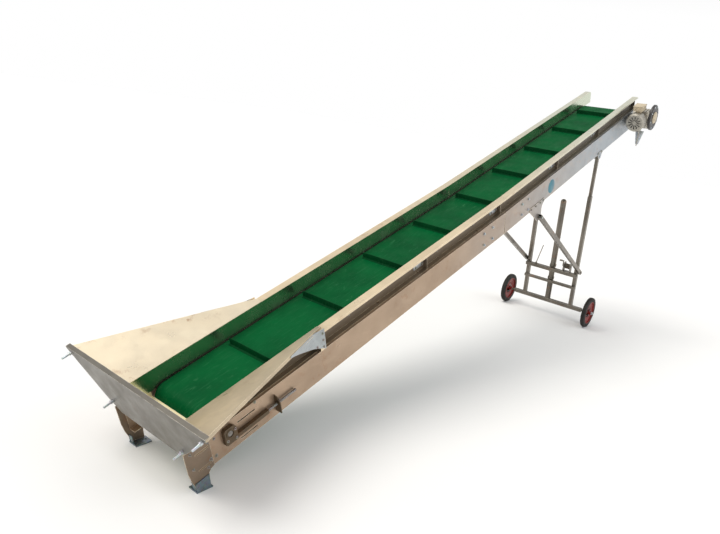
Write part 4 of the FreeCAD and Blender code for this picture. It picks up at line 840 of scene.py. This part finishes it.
# ---------------------------------------------------------------- take-ups
def takeup_trim(label, side):
    """Threads, caps and bolts on a take-up, the drum's shaft end in its cap, and the bracket's bolts."""
    screw = Piece(f"takeup_thread_{label}", "zinc", "zinc", "take_up")
    start = at(TAIL, TAIL_DRUM_AT + 0.276, side * (PANEL_FACE + 0.014), -0.130, (90, "Y"))
    screw.thread(start, 0.0084, 0.218, 0.0022)
    screw.done()
    cap = Piece(f"takeup_cap_{label}", "carriage", "dark", "take_up")
    cap.lathe(facing(TAIL, TAIL_DRUM_AT, side * (PANEL_FACE + 0.025), -BELT_DROP, side),
              [(0, 0.027), (0.002, 0.027), (0.0035, 0.025), (0.0035, 0.0205), (0, 0.0205), (0, 0.027)])
    cap.done()
    end = Piece(f"tail_shaft_end_{label}", "steel", "steel", "tail_drum")
    end.lathe(facing(TAIL, TAIL_DRUM_AT, side * (PANEL_FACE + 0.0201), -BELT_DROP, side),
              [(0, 0.0170), (0.0045, 0.0170), (0.0060, 0.0155), (0.0060, 0.0042), (0.0035, 0.0)], 40)
    end.done()
    bolts = Piece(f"takeup_bolts_{label}", "bolt", "zinc", "take_up")
    for x, z in ((-0.024, -0.118), (0.034, -0.072), (0.034, -0.134)):
        bolts.nut(facing(TAIL, TAIL_DRUM_AT + x, side * (PANEL_FACE + 0.025), z, side), 0.009, 0.006)
    bolts.done()
    bracket = Piece(f"bracket_bolts_{label}", "bolt", "zinc")
    for z in (-0.172, -0.094):
        bracket.nut(at(TAIL, TAIL_DRUM_AT + 0.348, side * (PANEL_FACE + 0.034), z, (90, "Y")), 0.009, 0.006)
    bracket.done()


# ---------------------------------------------------------------- stand
LEG_ACROSS = 0.290
LEG_HALF = 0.020
LADDER_BARS = ((0.411, 0.020), (0.257, 0.015))      # height up the leg, half the bar's depth
AXLE_TOP = 0.020
MAST_AT = 0.012                                     # the mast's middle, along LEG's x
MAST_WELD = 0.032                                   # radius of the weld round the mast


def stand_welds():
    """Weld beads where the ladder bars, the legs and the mast meet the bars and the axle."""
    welds = Piece("stand_welds", "tube", "tube", "wheel_frame")

    def line(*ends):
        welds.bead([LEG @ Vector(end) for end in ends])

    for side in (NEAR, FAR):
        low = side * LEG_ACROSS - LEG_HALF
        high = side * LEG_ACROSS + LEG_HALF
        for height, depth in LADDER_BARS:
            for z in (height - depth, height + depth):
                line((-LEG_HALF, low, z), (-LEG_HALF, high, z))
        for x in (-LEG_HALF, LEG_HALF):
            line((x, low, AXLE_TOP), (x, high, AXLE_TOP))
        for y in (low, high):
            line((-LEG_HALF, y, AXLE_TOP), (LEG_HALF, y, AXLE_TOP))
    turns = [2 * math.pi * k / 24 for k in range(25)]
    line(*[(MAST_AT + MAST_WELD * math.cos(turn), MAST_WELD * math.sin(turn), AXLE_TOP + 0.001)
           for turn in turns])
    welds.done(60)


def winch_trim():
    """Ratchet teeth on the winch drum's flange, and nine turns of cable wound on it."""
    drum = axle("winch_spin")
    teeth = Piece("winch_ratchet", "steel", "steel", "winch")
    for spot in on_circle(drum, 24, 0.0430, 0.029):
        teeth.slab(spot, [(0, -0.004), (0.0062, 0.0005), (0.0, 0.004)], 0.007, 0.0003)
    teeth.done()
    cable = Piece("wound_cable", "cable", "steel", "winch")
    strand = 0.0031
    for k in range(9):
        turns = [2 * math.pi * j / 8 for j in range(8)] + [0.0]
        cable.lathe(drum, [(strand * (2 * k + math.cos(turn)) - 0.030, strand * math.sin(turn) + 0.0272)
                           for turn in turns], 36)
    cable.done(60)


def gusset_bolts():
    """Bolts of the braces' gussets and the legs' brackets."""
    bolts = Piece("gusset_bolts", "bolt", "zinc")
    for side in (NEAR, FAR):
        face = side * (PANEL_FACE + 0.005)
        for x in (0.49, 0.58, 0.67, 0.735):
            bolts.nut(facing(HEAD, x, face, -0.200, side), 0.012, 0.007)
        for x in (2.064, 2.144):
            bolts.nut(facing(HEAD, x, face, -0.206, side), 0.011, 0.007)
    bolts.done()


def round_marker():
    """Plain disc of film on the head section's near panel."""
    marker = Piece("round_marker", "marker", "panel")
    marker.lathe(facing(HEAD, 0.905, -PANEL_FACE - 0.0002, -0.128, NEAR),
                 [(0, 0.066), (0.0006, 0.066), (0.0009, 0.0655), (0.0009, 0.0)], 56)
    marker.done()


# ---------------------------------------------------------------- every piece
cleats()
for label, side in SIDES:
    tyre(label)
    wheel_trim(label)
motor_trim()
drive_screws()
gearbox_trim()
torque_arm_trim()
for label, side in SIDES:
    head_bearing_trim(label, side)
for label, side in SIDES:
    recess_trim(label, side)
    end_plate_trim(label, side)
    splice_trim(label, side)
hopper_trim()
for label, side in SIDES:
    wing_skirt(label, side)
for label, side in SIDES:
    takeup_trim(label, side)
stand_welds()
winch_trim()
gusset_bolts()
round_marker()

# ---------------------------------------------------------------- stage, light and camera
FLOOR_REACH = 60.0
floor_mesh = bpy.data.meshes.new("floor")
floor_corners = [(x * FLOOR_REACH, y * FLOOR_REACH, 0) for x, y in ((-1, -1), (1, -1), (1, 1), (-1, 1))]
floor_mesh.from_pydata(floor_corners, [], [(0, 1, 2, 3)])
floor = bpy.data.objects.new("floor", floor_mesh)
bpy.context.scene.collection.objects.link(floor)
pale = Shader("floor_paint")
pale.put(pale.main.inputs["Base Color"], pale.mix(pale.noise(0.8), (0.86, 0.86, 0.86), (0.89, 0.89, 0.89)))
pale.main.inputs["Roughness"].default_value = 0.9
pale.main.inputs["Specular IOR Level"].default_value = 0.2
floor.data.materials.append(pale.material)

# White all round, and dimmer from above than from the horizon.
world = bpy.data.worlds.new("studio")
bpy.context.scene.world = world
world.use_nodes = True
sky = world.node_tree
lookup = sky.nodes.new("ShaderNodeTexCoord")
split = sky.nodes.new("ShaderNodeSeparateXYZ")
fade = sky.nodes.new("ShaderNodeMapRange")
sky.links.new(lookup.outputs["Generated"], split.inputs["Vector"])
sky.links.new(split.outputs["Z"], fade.inputs["Value"])
for key, number in (("From Min", 0.18), ("From Max", 0.55), ("To Min", 1.0), ("To Max", 0.62)):
    fade.inputs[key].default_value = number
sky.links.new(fade.outputs["Result"], sky.nodes["Background"].inputs["Strength"])
sky.nodes["Background"].inputs["Color"].default_value = (1, 1, 1, 1)


def sun(name, towards, power, softness, colour):
    light = bpy.data.lights.new(name, "SUN")
    light.energy = power
    light.angle = math.radians(softness)
    light.color = colour
    lamp = bpy.data.objects.new(name, light)
    bpy.context.scene.collection.objects.link(lamp)
    lamp.rotation_euler = Vector(towards).to_track_quat("-Z", "Y").to_euler()


sun("key", (0.50, -0.35, -1.0), 1.95, 40, (1.0, 0.965, 0.90))
sun("fill", (-0.4, 0.9, -0.7), 0.35, 60, (0.93, 0.96, 1.0))
bpy.context.scene.view_settings.view_transform = "Standard"

# The camera stands before the hopper on the near side, a little lower than the head, and looks up the belt.
VIEWPOINT = Vector((-1.9715, -2.560, 2.0685))
VIEW_RIGHT = Vector((0.6191, -0.7709, 0.1507))
VIEW_UP = Vector((0.1006, 0.2681, 0.9581))
VIEW_BACK = Vector((-0.779, -0.578, 0.2434))
camera = bpy.data.cameras.new("photo_camera")
camera.sensor_fit = "HORIZONTAL"
camera.sensor_width = 36.0
camera.lens = 31.49
viewer = bpy.data.objects.new("photo_camera", camera)
bpy.context.scene.collection.objects.link(viewer)
turned = Matrix((VIEW_RIGHT, VIEW_UP, VIEW_BACK)).transposed().to_4x4()
viewer.matrix_world = Matrix.Translation(VIEWPOINT) @ turned
bpy.context.scene.camera = viewer
